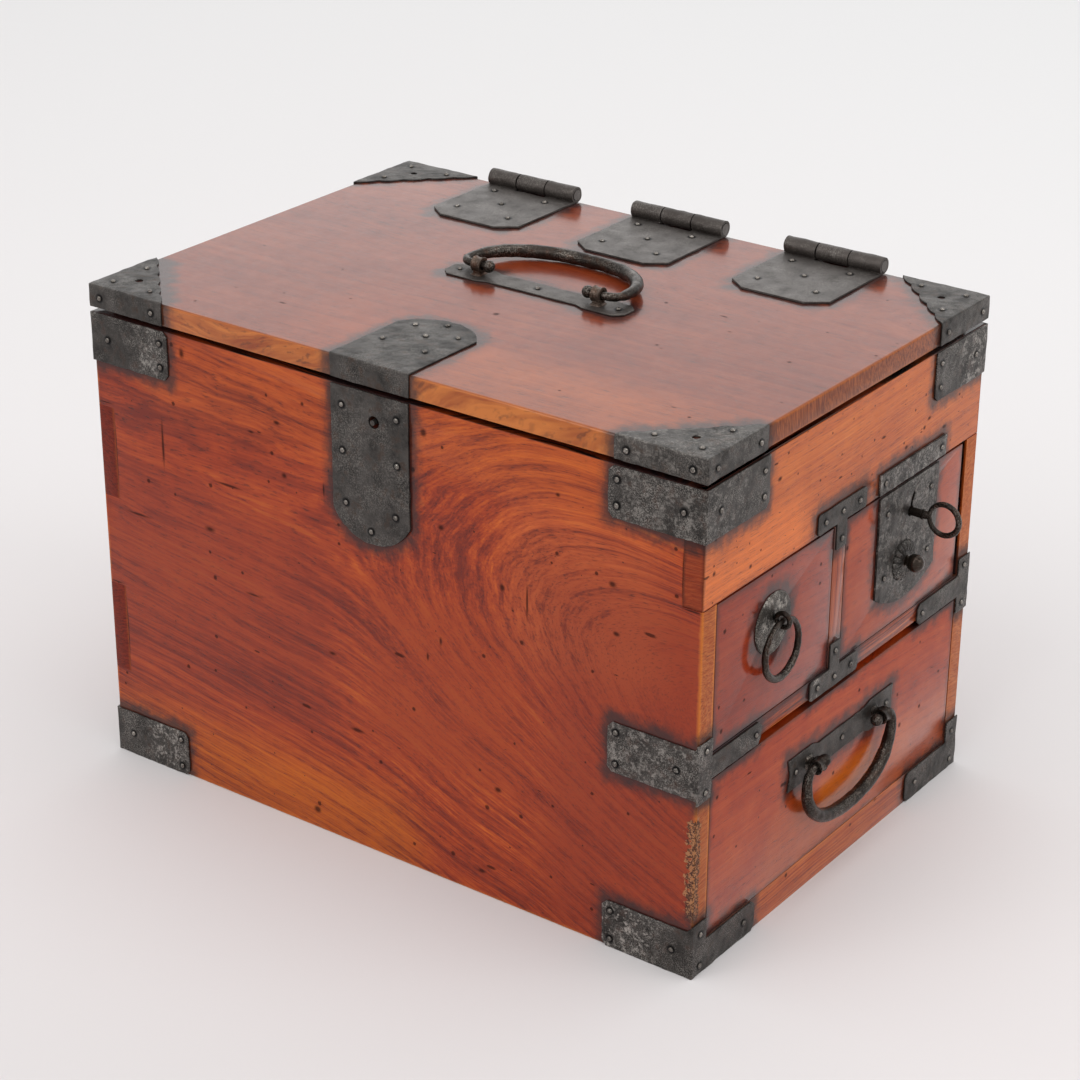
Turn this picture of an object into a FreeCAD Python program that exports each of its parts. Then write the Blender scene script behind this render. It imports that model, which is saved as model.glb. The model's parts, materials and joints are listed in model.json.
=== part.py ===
import FreeCAD, Part
import math
import os

# Small lidded ship chest with a drawer end, all sizes in millimetres.
# X runs along the chest with the drawers at +X, Y across it with the lid lock at -Y,
# Z up.  The origin is the middle of the underside.

# ---- carcass ----
bodyLength = 410.0          # along X
bodyDepth = 284.0           # along Y
bodyHeight = 280.0          # to the outer ledge of the rim
boardThickness = 12.5       # front and back boards
endThickness = 12.0         # left end board and the top rail of the drawer end
fingerCount = 5             # equal fingers in the height of the left corners
arrisRadius = 1.0           # rounding of the upright outer corners
rimLedge = 8.0              # open ledge round the mouth, outside the lip
rimLip = 2.7                # how far the lip stands above the ledge
housing = 4.0               # depth of every housing in the boards
topRailHeight = 66.0        # deep rail above the drawers
middleRailTop = 129.5       # floor of the two upper drawers
middleRailHeight = 15.0
middleRailDepth = 34.0
railChamfer = 4.5           # under the front arris of the middle rail
sillHeight = 19.0           # floor of the long lower drawer
sillDepth = 30.0
shelfThickness = 9.0        # dust board behind the middle rail
trayThickness = 8.0         # floor of the lid compartment
bottomThickness = 11.0
dividerThickness = 12.0     # upright between the two upper drawers
dividerCentre = -9.5        # its middle, in Y
runnerWidth = 14.0
guideHeight = 16.0          # strip that guides the lock drawer
guideSetback = 16.0         # its end lies this far behind the drawer faces

# ---- lid ----
lidThickness = 12.6
lidGap = 0.3                # lid to lip
lidArris = 1.5
battenWidth = 22.0
battenThickness = 9.0
battenInset = 12.0          # batten ends to the inside of the boards
battenSpacing = 230.0

# ---- ironwork ----
ironThickness = 1.2
foldBevel = 0.6             # bevel along the folds of the irons
ironCorner = 3.0            # cut at the free corners of the irons
topIronLeg = 57.0
topIronHeight = 29.0
middleIronLeg = 55.0        # leg on the long board
middleIronHeight = 29.5
middleIronArm = 59.5        # arm on the rail
middleIronArmHeight = 13.5
middleIronStrip = 35.0      # height of its strip on the end grain
bottomIronLeg = 56.5
bottomIronHeight = 28.5
bottomIronArm = 60.0
bottomIronStrip = 32.0
lidIronLeg = 54.0
lidIronLobes = 5            # shallow lobes along the long edge
lidIronLobeRise = 1.5
lidIronHole = 4.0           # diameter of the round hole near its middle
lidIronHoleInset = 19.0
teeBar = 50.0               # length of the bar of the tee irons
teeBarHeight = 12.0
teeStem = 10.4              # width of the stem
teeStemLength = 15.0
strapThickness = 1.6
keeperLength = 73.0         # strap over the drawer lock
keeperHeight = 12.5
keeperOffset = 2.5          # its middle from the middle of the lock plate, in Y

# ---- lid lock ----
lidLockCentre = -4.0        # middle of the hasp and of the plate, in X
haspWidth = 53.0
haspReach = 72.0            # length on the lid, to the crown of its round end
haspShoulder = 15.0         # rise of the round end
frontPlateWidth = 52.5
frontPlateLength = 87.5
frontPlateRound = 15.5      # rise of its round lower end
keyholeDrop = 16.0          # below the ledge of the rim
keyholeOffset = 3.0         # from the middle of the plate
keyholeRadius = 3.4
keyPinRadius = 1.5
keyPinProud = 0.8
lockCaseWidth = 42.0
lockCaseDepth = 13.0
lockCaseDrop = 5.0          # its top below the ledge of the rim
lockCaseHeight = 38.0
lockWall = 1.6
keyPostRoom = 1.0           # key post to the ledge of the bolt
stapleOffset = 10.0         # staple centre from the key post, in X
stapleRoom = 1.0            # round the staple in the top of the case
stapleWidth = 7.0
stapleThickness = 3.0
stapleDrop = 21.0           # below the lid
stapleWindowWidth = 4.4
stapleWindowHeight = 6.0
stapleFoot = 16.0           # length of the foot plate
boltHeight = 4.0
boltThickness = 3.0
boltLength = 22.0
boltSetback = 1.5           # open bolt to the staple
boltSeat = 0.3              # bolt above its ledge
slideClearance = 0.5        # bolts in their windows

# ---- lid hinges ----
hingeCount = 3
hingeEndGap = 66.5          # outer leaves to the ends of the chest, with the row centred
hingeCentre = 2.5           # middle hinge, in X
hingeWidth = 64.0
hingeReach = 72.0           # from the back edge to the front of the leaf
hingeChamferX = 12.0
hingeChamferY = 9.0
hingeDrop = 58.0            # length of the fixed leaf on the back board
knuckleRadius = 5.2
pinRadius = 3.3
pinClearance = 0.05
knuckleGap = 0.4
knuckleRoom = 0.2           # lid leaf round the middle knuckle
lidBackGap = 0.3            # lid edge to the fixed leaves

# ---- bail handles ----
barSideCount = 8            # flats round a forged bar
ringRunCount = 24           # short straight runs round a ring
flareRunCount = 3           # and round the small bend of a bail
loopRunCount = 8            # and round half of its loop
turnedSideCount = 12        # flats round a small turned piece
ballBeltCount = 6           # its belts from pole to pole
bailRodRadius = 4.0         # at the middle of the loop
bailEndRadius = 2.5         # where it passes through the posts
bailSquareness = 2.3        # exponent of the loop's outline, 2 for an ellipse
bailBall = 3.7
bailPlay = 0.3              # ends of the bail to the posts
postBore = 2.9
postRadius = 4.6
postLength = 6.0
postHeight = 6.8            # pivot above the wood
bailFlare = 7.0             # small bend radius outside the posts
lidBailWidth = 106.0        # centre to centre of the sides
lidBailDepth = 47.5
lidPostSpacing = 82.0
drawerBailWidth = 91.0
drawerBailDepth = 39.5
drawerPostSpacing = 70.0
drawerHandleOffset = 3.2    # from the middle of the lower drawer, in Y
drawerHandleDrop = 34.5     # below the rail above it
handlePlateOverhang = 21.0  # plate beyond each post
handlePlateEnd = 19.5       # width at the wings
handlePlateWaist = 15.0     # width between them
handlePlateNeck = 6.0       # length of the taper from one to the other
handlePlateHollow = 2.0     # hollow of the ends between their pointed corners
lidPlateCut = 5.0           # cut corners of the lid's plate
bailRestGap = 0.3           # folded bail to the lid

# ---- drawers ----
drawerPlay = 0.5            # at each side
drawerSeat = 0.3            # below
drawerHead = 0.8            # above
drawerFrontThickness = 13.0
drawerSideThickness = 8.0
drawerBottomThickness = 6.0
drawerBottomRise = 3.0
drawerGroove = 3.0
drawerLap = 8.0             # how far the sides lap into the front
drawerBackGap = 1.0         # behind the drawer
drawerTopDrop = 6.0         # sides and back lie this far below the front's top
lockDrawerGap = 5.0         # open shadow line at the right of the lock drawer

# ---- ring pull ----
ringPlateRadius = 17.5
ringOffset = -2.5           # from the middle of the small drawer, in Y
ringPlateDrop = 32.0        # below the rail above it
ringPivotRise = 3.0         # above the middle of the plate
ringWire = 2.1              # at the bottom
ringWireTop = 1.6           # in the eye
ringRadius = 16.3           # centre line
ringProud = 6.3             # pivot in front of the wood
eyeWire = 1.2
eyeRadius = 4.0

# ---- drawer lock ----
lockPlateWidth = 65.0
lockPlateOffset = 2.25      # from the middle of the lock drawer, in Y
plateSeam = 1.0             # straps of the drawer end above the seam under the top rail
lockPlateDrop = 71.0
lockPlateRound = 10.0
keyOffset = 2.0             # from the middle of the plate, in Y
keyDrop = 19.2              # below the top of the drawer front
keyShaftRadius = 2.5
keyHoleRadius = 3.0
keySlotRadius = 16.0        # curved upper part of the keyhole
keySlotWidth = 2.2
keySlotHeight = 11.0
keyRingRadius = 9.0
keyRingWire = 1.6
keyRingCentre = 20.5        # in front of the plate
keyBitReach = 8.0
keyBitWidth = 2.6
keyBitRoom = 0.8            # raised bolt above the bit
rosettePetals = 18
rosetteRadius = 12.0
rosetteThickness = 2.4
rosettePetalRise = 1.3      # height of the petals at the rim
rosetteNotch = 1.0          # depth of the notches between them
rosetteNotchRise = 0.5      # height of the rim in a notch
rosetteOffset = -3.5        # from the middle of the plate, in Y
rosetteDrop = 46.7          # below the top of the drawer front
knobRadius = 5.6
knobNeck = 2.6
knobStand = 7.5             # ball centre in front of the plate
knobTang = 4.3              # length of its stem in the drawer front
drawerCaseDepth = 9.0
drawerCaseWidth = 38.0
drawerCaseHeight = 34.0
drawerBoltWidth = 20.0
drawerBoltThickness = 4.0
drawerBoltTravel = 6.0
drawerBoltRest = 1.0        # below the top of the drawer front

# ---- nails ----
nailRadius = 1.5
nailHeight = 1.0
nailSideCount = 6
nailInset = 5.5             # nail to the free edges of an iron
cornerNail = 12.0           # first nail from the folded corner
strapNailGap = 7.5          # nail to the ends of the small straps
lidIronNails = ((9.0, 9.0), (37.0, 9.0), (9.0, 36.0))                  # from the two edges of the lid
haspNails = ((-15.0, 57.0), (0.0, 66.0), (-16.5, 31.0), (0.0, 47.0), (16.0, 54.5), (14.0, 28.5))
frontPlateNails = ((18.5, 11.0), (18.5, 37.0), (17.0, 67.0))           # half spacing, drop
lidLeafNails = ((-20.0, 18.0), (18.0, 18.0), (-1.0, 36.0), (-20.0, 55.0), (18.0, 55.0))
fixedLeafNails = ((-18.0, 12.0), (18.0, 12.0), (0.0, 28.0), (-18.0, 44.0), (18.0, 44.0))
lockPlateNails = ((24.0, 12.0), (24.0, 50.5))                          # half spacing, drop
handleNailGap = 13.5        # nail beyond each post

# ---- worked-out places ----
halfLength = bodyLength / 2
halfDepth = bodyDepth / 2
innerEnd = halfLength - endThickness        # inside of both ends, in X
innerSide = halfDepth - boardThickness      # inside of front and back, in Y
fingerHeight = bodyHeight / fingerCount
bayTop = bodyHeight - topRailHeight
lipTop = bodyHeight + rimLip
lidBottom = lipTop + lidGap
lidTop = lidBottom + lidThickness
hingeY = halfDepth + strapThickness - knuckleRadius
hingeZ = lidTop + knuckleRadius
dividerLeft = dividerCentre - dividerThickness / 2
dividerRight = dividerCentre + dividerThickness / 2
guideFace = innerSide - lockDrawerGap + drawerSeat
middleRailBottom = middleRailTop - middleRailHeight
frontFace = -halfDepth
smallDrawerSpan = (-innerSide + drawerPlay, dividerLeft - drawerPlay)
lockDrawerSpan = (dividerRight + drawerPlay, innerSide - lockDrawerGap)
lowerDrawerSpan = (-innerSide + drawerPlay, innerSide - drawerPlay)
drawerFrontTop = bayTop - drawerHead
strapSeam = bayTop + plateSeam
ringY = sum(smallDrawerSpan) / 2 + ringOffset
ringPlateZ = bayTop - ringPlateDrop
ringPivotZ = ringPlateZ + ringPivotRise
lockPlateY = sum(lockDrawerSpan) / 2 + lockPlateOffset
keyY = lockPlateY + keyOffset
keyZ = drawerFrontTop - keyDrop
rosetteY = lockPlateY + rosetteOffset
rosetteZ = drawerFrontTop - rosetteDrop
drawerHandleZ = middleRailBottom - drawerHandleDrop
lidKeyX = lidLockCentre + keyholeOffset
keyholeZ = bodyHeight - keyholeDrop
lockCaseTop = bodyHeight - lockCaseDrop
stapleX = lidKeyX + stapleOffset
hingeSpacing = (bodyLength - 2 * hingeEndGap - hingeWidth) / (hingeCount - 1)
hingeMiddles = [hingeCentre + (i - (hingeCount - 1) / 2) * hingeSpacing for i in range(hingeCount)]

flatness = 1e-6             # volume spanned by four corners that still count as flat
eX = FreeCAD.Vector(1, 0, 0)
eY = FreeCAD.Vector(0, 1, 0)
eZ = FreeCAD.Vector(0, 0, 1)
origin = FreeCAD.Vector(0, 0, 0)
parts = {}


def point(x, y, z):
    return FreeCAD.Vector(x, y, z)


def block(x0, x1, y0, y1, z0, z1):
    return Part.makeBox(x1 - x0, y1 - y0, z1 - z0, point(x0, y0, z0))


def rod(radius, length, start, direction):
    return Part.makeCylinder(radius, length, start, direction)


def polygonFace(spots):
    return Part.Face(Part.makePolygon(spots + [spots[0]]))


def pyramid(rim, tip):
    """Flat-sided solid from a closed rim of points to one tip."""
    sides = [polygonFace([spot, rim[(i + 1) % len(rim)], tip]) for i, spot in enumerate(rim)]
    return Part.makeSolid(Part.makeShell(sides + [polygonFace(rim)]))


def circleSpots(centre, across, up, radius, count, shift=0.5):
    """Evenly spaced points of a circle spanned by two directions."""
    turns = [2 * math.pi * (i + shift) / count for i in range(count)]
    return [centre + across * (radius * math.cos(a)) + up * (radius * math.sin(a)) for a in turns]


def turned(radius, start, push):
    """Straight many-sided bar from its start along push."""
    along = point(*push).normalize()
    across = eZ if abs(along.z) < 0.5 else eX
    spots = circleSpots(start, across, along.cross(across), radius, turnedSideCount)
    return polygonFace(spots).extrude(push)


def quadFaces(a, b, c, d):
    """One face through four points, or two triangles where they don't lie in a plane."""
    if abs((b - a).cross(c - a).dot(d - a)) < flatness:
        return [polygonFace([a, b, c, d])]
    return [polygonFace([a, b, c]), polygonFace([a, c, d])]


def skinned(sections, closed=False):
    """Flat-sided solid through like sections, capped at both ends or closed on itself."""
    pairs = list(zip(sections, sections[1:]))
    if closed:
        pairs.append((sections[-1], sections[0]))
        faces = []
    else:
        faces = [polygonFace(sections[0]), polygonFace(sections[-1])]
    count = len(sections[0])
    for first, second in pairs:
        for i in range(count):
            j = (i + 1) % count
            faces += quadFaces(first[i], first[j], second[j], second[i])
    solid = Part.makeSolid(Part.makeShell(faces))
    if solid.Volume < 0:
        solid.reverse()
    return solid


def barCorner(radius):
    """Distance of the arrises of a forged bar from its middle."""
    return radius / math.cos(math.pi / barSideCount)


def forgedBar(path, radii, normal, closed=False):
    """Many-sided bar, as thick as the radii say, along a flat path of mitred straight runs."""
    runs = [(b - a).normalize() for a, b in zip(path, path[1:])]
    if closed:
        runs.append((path[0] - path[-1]).normalize())
        meetings = zip([runs[-1]] + runs[:-1], runs)
    else:
        meetings = zip([runs[0]] + runs, runs + [runs[-1]])
    sections = []
    for spot, radius, (before, after) in zip(path, radii, meetings):
        side = normal.cross(before + after).normalize()
        stretch = 1 / side.dot(normal.cross(after))
        sections.append(circleSpots(spot, side * stretch, normal, barCorner(radius), barSideCount))
    return skinned(sections, closed)


def ring(radius, wireNear, wireFar, centre, axis, outward):
    """Ring of forged bar round an axis, from one wire radius outward to another opposite."""
    path = circleSpots(centre, outward, axis.cross(outward), radius, ringRunCount, 0)
    far = [(1 - math.cos(2 * math.pi * i / ringRunCount)) / 2 for i in range(ringRunCount)]
    return forgedBar(path, [wireNear + (wireFar - wireNear) * share for share in far], axis, True)


def ball(radius, centre, axis, outward):
    """Ball with flat belts about an axis."""
    belts = []
    for i in range(ballBeltCount):
        turn = math.pi * (i + 0.5) / ballBeltCount
        belts.append(circleSpots(centre + axis * (radius * math.cos(turn)), outward, axis.cross(outward),
                                 radius * math.sin(turn), turnedSideCount))
    return skinned(belts)


def prism(outline, place, push):
    """A flat outline of (u, v) points or arcs, put in space by place and pushed out."""
    edges = []
    for piece in outline:
        if len(piece) == 2:
            edges.append(Part.makeLine(place(*piece[0]), place(*piece[1])))
        else:
            edges.append(Part.Arc(*[place(*spot) for spot in piece]).toShape())
    return Part.Face(Part.Wire(edges)).extrude(push)


def loop(points):
    """Straight sides round a closed list of points."""
    return [(points[i], points[(i + 1) % len(points)]) for i in range(len(points))]


def onFront(thickness, centre=0.0):
    """Outline in X, Z that stands on the front face, X counted from the centre."""
    return (lambda u, v: point(centre + u, frontFace, v)), point(0, -thickness, 0)


def onEnd(thickness):
    """Outline in Y, Z that stands on the drawer end."""
    return (lambda u, v: point(halfLength, u, v)), point(thickness, 0, 0)


def onLid(thickness, centre=0.0):
    """Outline in X, Y that lies on the lid, X counted from the centre."""
    return (lambda u, v: point(centre + u, v, lidTop)), point(0, 0, thickness)


def flipX(shape):
    return shape.mirror(origin, eX)


def flipY(shape):
    return shape.mirror(origin, eY)


def fourCorners(shape):
    return [shape, flipX(shape), flipY(shape), flipX(flipY(shape))]


def straightEdges(shape, test, along=None):
    """Edges whose two ends both pass the test, perhaps only those along one axis."""
    found = []
    for edge in shape.Edges:
        ends = [v.Point for v in edge.Vertexes]
        if len(ends) != 2 or not all(test(p) for p in ends):
            continue
        if along is None or abs(abs((ends[1] - ends[0]).normalize().dot(along)) - 1) < 0.001:
            found.append(edge)
    return found


def softened(shape, radius, test):
    edges = straightEdges(shape, test)
    return shape.makeFillet(radius, edges) if edges else shape


def keep(name, *solids):
    parts[name] = list(solids)


# ---- carcass ----
def atOuterCorner(spot):
    return abs(abs(spot.x) - halfLength) < 0.01 and abs(abs(spot.y) - halfDepth) < 0.01


def fingerZones():
    """Heights at which the fingers of the left end board show on the long boards."""
    return [(i * fingerHeight, (i + 1) * fingerHeight) for i in range(1, fingerCount, 2)]


def trayFloor():
    return block(-innerEnd - housing, innerEnd + housing, -innerSide - housing, innerSide + housing,
                 bayTop, bayTop + trayThickness)


def drawerShelf():
    return block(-innerEnd - housing, halfLength - middleRailDepth, -innerSide - housing,
                 innerSide + housing, middleRailTop - shelfThickness, middleRailTop)


def middleRail():
    rail = block(halfLength - middleRailDepth, halfLength, -innerSide - housing, innerSide + housing,
                 middleRailBottom, middleRailTop)
    return rail.makeChamfer(railChamfer, straightEdges(
        rail, lambda p: p.x > halfLength - 0.01 and p.z < middleRailBottom + 0.01))


def sillRail():
    return block(halfLength - sillDepth, halfLength, -innerSide - housing, innerSide + housing,
                 0, sillHeight)


def bottomBoard():
    return block(-innerEnd - housing, halfLength - sillDepth, -innerSide - housing,
                 innerSide + housing, 0, bottomThickness)


def upperDivider():
    return block(-innerEnd, halfLength, dividerLeft, dividerRight, middleRailTop, bayTop)


def housed():
    """Everything that is let into the long boards."""
    return [trayFloor(), drawerShelf(), middleRail(), sillRail(), bottomBoard()]


def longBoard():
    board = block(-halfLength, halfLength, frontFace, -innerSide, 0, bodyHeight)
    lip = block(-halfLength + rimLedge, innerEnd, frontFace + rimLedge, -innerSide, bodyHeight, lipTop)
    cuts = [block(-halfLength, -innerEnd, frontFace, -innerSide, low, high) for low, high in fingerZones()]
    cuts.append(block(innerEnd, halfLength, frontFace, -innerSide, bayTop, bodyHeight))
    return board.fuse(lip).removeSplitter().cut(cuts + housed())


def keyholeThrough():
    return rod(keyholeRadius, strapThickness + boardThickness,
               point(lidKeyX, frontFace - strapThickness, keyholeZ), eY)


def leftEndBoard():
    board = block(-halfLength, -innerEnd, -innerSide, innerSide, 0, bodyHeight)
    lip = block(-halfLength + rimLedge, -innerEnd, -innerSide, innerSide, bodyHeight, lipTop)
    fingers = [block(-halfLength, -innerEnd, frontFace, halfDepth, low, high)
               for low, high in fingerZones()]
    return board.fuse([lip] + fingers).removeSplitter().cut([trayFloor(), drawerShelf(), bottomBoard()])


def endTopRail():
    rail = block(innerEnd, halfLength, frontFace, halfDepth, bayTop, bodyHeight)
    lip = block(innerEnd, halfLength - rimLedge, frontFace + rimLedge, halfDepth - rimLedge,
                bodyHeight, lipTop)
    return rail.fuse(lip).removeSplitter().cut([trayFloor(), boltMortise()])


def boltMortise():
    """Pocket in the underside of the top rail that takes the drawer bolt."""
    half = drawerBoltWidth / 2 + slideClearance
    x0 = drawerBoltX() - slideClearance
    return block(x0, x0 + drawerBoltThickness + 2 * slideClearance, lockPlateY - half,
                 lockPlateY + half, bayTop, bayTop + drawerBoltTravel + slideClearance)


def buildCarcass():
    board = longBoard()
    front = board.cut(keyholeThrough())
    keep("front_board", softened(front, arrisRadius, atOuterCorner))
    keep("back_board", softened(flipY(board), arrisRadius, atOuterCorner))
    keep("left_end_board", softened(leftEndBoard(), arrisRadius, atOuterCorner))
    keep("end_top_rail", softened(endTopRail(), arrisRadius, atOuterCorner))
    keep("middle_rail", middleRail())
    keep("drawer_shelf", drawerShelf())
    keep("upper_divider", upperDivider())
    keep("tray_floor", trayFloor().cut(boltMortise()))
    keep("bottom_board", bottomBoard())
    keep("sill_rail", sillRail())
    runner = block(-innerEnd, halfLength - sillDepth, -innerSide, -innerSide + runnerWidth,
                   bottomThickness, sillHeight)
    keep("lower_runners", runner, flipY(runner))
    keep("drawer_guide", block(-innerEnd, halfLength - guideSetback, guideFace, innerSide,
                               middleRailTop, middleRailTop + guideHeight))


# ---- irons of the carcass ----
def cornerIron(leg, legHeight, endOutline, z0):
    """Folded iron on the near corner: a leg on the long board and an outline on the drawer end."""
    place, push = onFront(ironThickness)
    low = halfLength - leg
    high = halfLength + ironThickness
    top = z0 + legHeight
    legPlate = prism(loop([(low + ironCorner, z0), (high, z0), (high, top), (low + ironCorner, top),
                           (low, top - ironCorner), (low, z0 + ironCorner)]), place, push)
    place, push = onEnd(ironThickness)
    endPlate = prism(endOutline, place, push)
    iron = legPlate.fuse(endPlate).removeSplitter()
    fold = straightEdges(iron, lambda p: p.x > high - 0.01 and p.y < frontFace - ironThickness + 0.01, eZ)
    return iron.makeChamfer(foldBevel, fold)


def topIron():
    z0 = bodyHeight - topIronHeight
    reach = frontFace + topIronLeg
    outline = loop([(frontFace - ironThickness, z0), (reach - ironCorner, z0),
                    (reach, z0 + ironCorner), (reach, bodyHeight), (frontFace - ironThickness, bodyHeight)])
    return cornerIron(topIronLeg, topIronHeight, outline, z0)


def stripAndArm(strip0, strip1, arm0, arm1, reach):
    """End outline: a strip on the end grain of the long board and an arm along the rail."""
    fold = frontFace - ironThickness
    edge = -innerSide
    tip = frontFace + reach
    points = [(fold, strip0), (edge, strip0)]
    if arm0 > strip0:
        points.append((edge, arm0))
    points += [(tip - ironCorner, arm0), (tip, arm0 + ironCorner), (tip, arm1 - ironCorner),
               (tip - ironCorner, arm1), (edge, arm1), (edge, strip1), (fold, strip1)]
    return loop(points)


def middleIron():
    middle = middleRailTop - middleRailHeight / 2
    z0 = middle - middleIronHeight / 2
    strip0 = middle - middleIronStrip / 2
    outline = stripAndArm(strip0, strip0 + middleIronStrip, middle - middleIronArmHeight / 2,
                          middle + middleIronArmHeight / 2, middleIronArm)
    return cornerIron(middleIronLeg, middleIronHeight, outline, z0)


def bottomIron():
    outline = stripAndArm(0, bottomIronStrip, 0, sillHeight, bottomIronArm)
    return cornerIron(bottomIronLeg, bottomIronHeight, outline, 0)


def leftBottomIron():
    reach = frontFace + bottomIronLeg
    outline = loop([(frontFace - ironThickness, 0), (reach, 0), (reach, bottomIronHeight - ironCorner),
                    (reach - ironCorner, bottomIronHeight), (frontFace - ironThickness, bottomIronHeight)])
    return flipX(cornerIron(bottomIronLeg, bottomIronHeight, outline, 0))


def teeIron(seam, up):
    """Bar on a rail and stem on the divider; up is +1 for the bar above the seam."""
    half = teeBar / 2
    stem = teeStem / 2
    corner = ironCorner / 2
    far = seam + up * teeBarHeight
    outline = [(-stem, seam - up * teeStemLength), (stem, seam - up * teeStemLength), (stem, seam),
               (half - corner, seam), (half, seam + up * corner), (half, far - up * corner),
               (half - corner, far), (corner - half, far), (-half, far - up * corner),
               (-half, seam + up * corner), (corner - half, seam), (-stem, seam)]
    place, push = onEnd(ironThickness)
    return prism(loop([(dividerCentre + u, v) for u, v in outline]), place, push)


def keeperStrap():
    y0 = lockPlateY + keeperOffset - keeperLength / 2
    return block(halfLength, halfLength + strapThickness, y0, y0 + keeperLength,
                 strapSeam, strapSeam + keeperHeight)


def buildIrons():
    keep("top_corner_irons", *fourCorners(topIron()))
    keep("middle_corner_irons", middleIron(), flipY(middleIron()))
    keep("bottom_corner_irons", bottomIron(), flipY(bottomIron()), leftBottomIron(), flipY(leftBottomIron()))
    keep("divider_tee_irons", teeIron(strapSeam, 1), teeIron(middleRailTop - drawerSeat, -1))
    keep("keeper_strap", keeperStrap())


# ---- lid lock ----
def tongue(width, length, rise, top, place, push):
    """Plate with a round lower end, hanging from top."""
    half = width / 2
    shoulder = top - length + rise
    return prism([((-half, shoulder), (-half, top)), ((-half, top), (half, top)),
                  ((half, top), (half, shoulder)),
                  ((half, shoulder), (0, top - length), (-half, shoulder))], place, push)


def lidLockCase():
    """Open-fronted iron case inside the front board, with a post for the hollow key."""
    x0 = lidKeyX - lockCaseWidth / 2
    x1 = lidKeyX + lockCaseWidth / 2
    y0 = -innerSide
    y1 = y0 + lockCaseDepth
    z0 = lockCaseTop - lockCaseHeight
    case = block(x0, x1, y0, y1, z0, lockCaseTop)
    hollow = block(x0 + lockWall, x1 - lockWall, y0, y1 - lockWall, z0 + lockWall, lockCaseTop - lockWall)
    room = stapleThickness / 2 + stapleRoom
    slot = block(stapleX - room, stapleX + room, y0 + slideClearance, y1 - lockWall,
                 lockCaseTop - lockWall, lockCaseTop)
    postStart = frontFace - strapThickness - keyPinProud
    post = rod(keyPinRadius, y1 - lockWall / 2 - postStart, point(lidKeyX, postStart, keyholeZ), eY)
    ledgeTop = boltBottom() - boltSeat
    ledge = block(x0 + lockWall, lidKeyX - keyPinRadius - keyPostRoom, y0 + slideClearance, y1 - lockWall,
                  ledgeTop - lockWall, ledgeTop)
    return case.cut([hollow, slot]).fuse([post, ledge]).removeSplitter()


def stapleY():
    """Middle of the staple and of the bolt in Y."""
    return -innerSide + (lockCaseDepth - lockWall) / 2


def boltBottom():
    return lidBottom - stapleDrop + stapleThickness + (stapleWindowHeight - boltHeight) / 2


def lidStaple():
    """Loop under the lid that the lock bolt shoots through."""
    x0 = stapleX - stapleThickness / 2
    x1 = stapleX + stapleThickness / 2
    y0 = stapleY() - stapleWidth / 2
    low = lidBottom - stapleDrop
    loopPlate = block(x0, x1, y0, y0 + stapleWidth, low, lidBottom)
    window = block(x0, x1, stapleY() - stapleWindowWidth / 2, stapleY() + stapleWindowWidth / 2,
                   low + stapleThickness, low + stapleThickness + stapleWindowHeight)
    foot = block(stapleX - stapleFoot / 2, stapleX + stapleFoot / 2, y0, y0 + stapleWidth,
                 lidBottom - lockWall, lidBottom)
    return loopPlate.cut(window).fuse(foot).removeSplitter()


def lidBolt():
    """Bolt of the lid lock, drawn back clear of the staple."""
    tip = stapleX - stapleThickness / 2 - boltSetback
    y0 = stapleY() - boltThickness / 2
    z1 = boltBottom() + boltHeight
    bar = block(tip - boltLength, tip, y0, y0 + boltThickness, boltBottom(), z1)
    tail = tip - boltLength
    lug = block(tail, tail + boltHeight, y0, y0 + boltThickness, z1, z1 + boltThickness)
    return bar.fuse(lug).removeSplitter()


def hasp():
    half = haspWidth / 2
    back = frontFace + haspReach
    shoulder = back - haspShoulder
    place, push = onLid(ironThickness, lidLockCentre)
    top = prism([((-half, frontFace - ironThickness), (half, frontFace - ironThickness)),
                 ((half, frontFace - ironThickness), (half, shoulder)),
                 ((half, shoulder), (0, back), (-half, shoulder)),
                 ((-half, shoulder), (-half, frontFace - ironThickness))], place, push)
    drop = block(lidLockCentre - half, lidLockCentre + half, frontFace - ironThickness, frontFace,
                 lidBottom, lidTop + ironThickness)
    strap = top.fuse(drop).removeSplitter()
    fold = straightEdges(strap, lambda p: p.y < frontFace - ironThickness + 0.01
                         and p.z > lidTop + ironThickness - 0.01)
    return strap.makeChamfer(foldBevel, fold)


def buildLidLock():
    place, push = onFront(strapThickness, lidLockCentre)
    plate = tongue(frontPlateWidth, frontPlateLength, frontPlateRound, bodyHeight, place, push)
    keep("front_lock_plate", plate.cut(keyholeThrough()))
    keep("front_lock_case", lidLockCase())
    keep("front_lock_bolt", lidBolt())
    keep("lid_staple", lidStaple())
    keep("lid_hasp", hasp())


# ---- lid ----
def lidBoard():
    back = halfDepth - lidBackGap
    board = block(-halfLength, halfLength, frontFace, back, lidBottom, lidTop)
    return softened(board, lidArris, lambda p: p.z > lidTop - 0.01)


def lobedEdge(leg):
    """Lobed slant edge from (leg, 0) to (0, leg), as arcs between nicks."""
    arcs = []
    step = leg / lidIronLobes
    bulge = lidIronLobeRise / math.sqrt(2)
    for i in range(lidIronLobes):
        start = (leg - i * step, i * step)
        end = (leg - (i + 1) * step, (i + 1) * step)
        middle = ((start[0] + end[0]) / 2 + bulge, (start[1] + end[1]) / 2 + bulge)
        arcs.append((start, middle, end))
    return arcs


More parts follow.
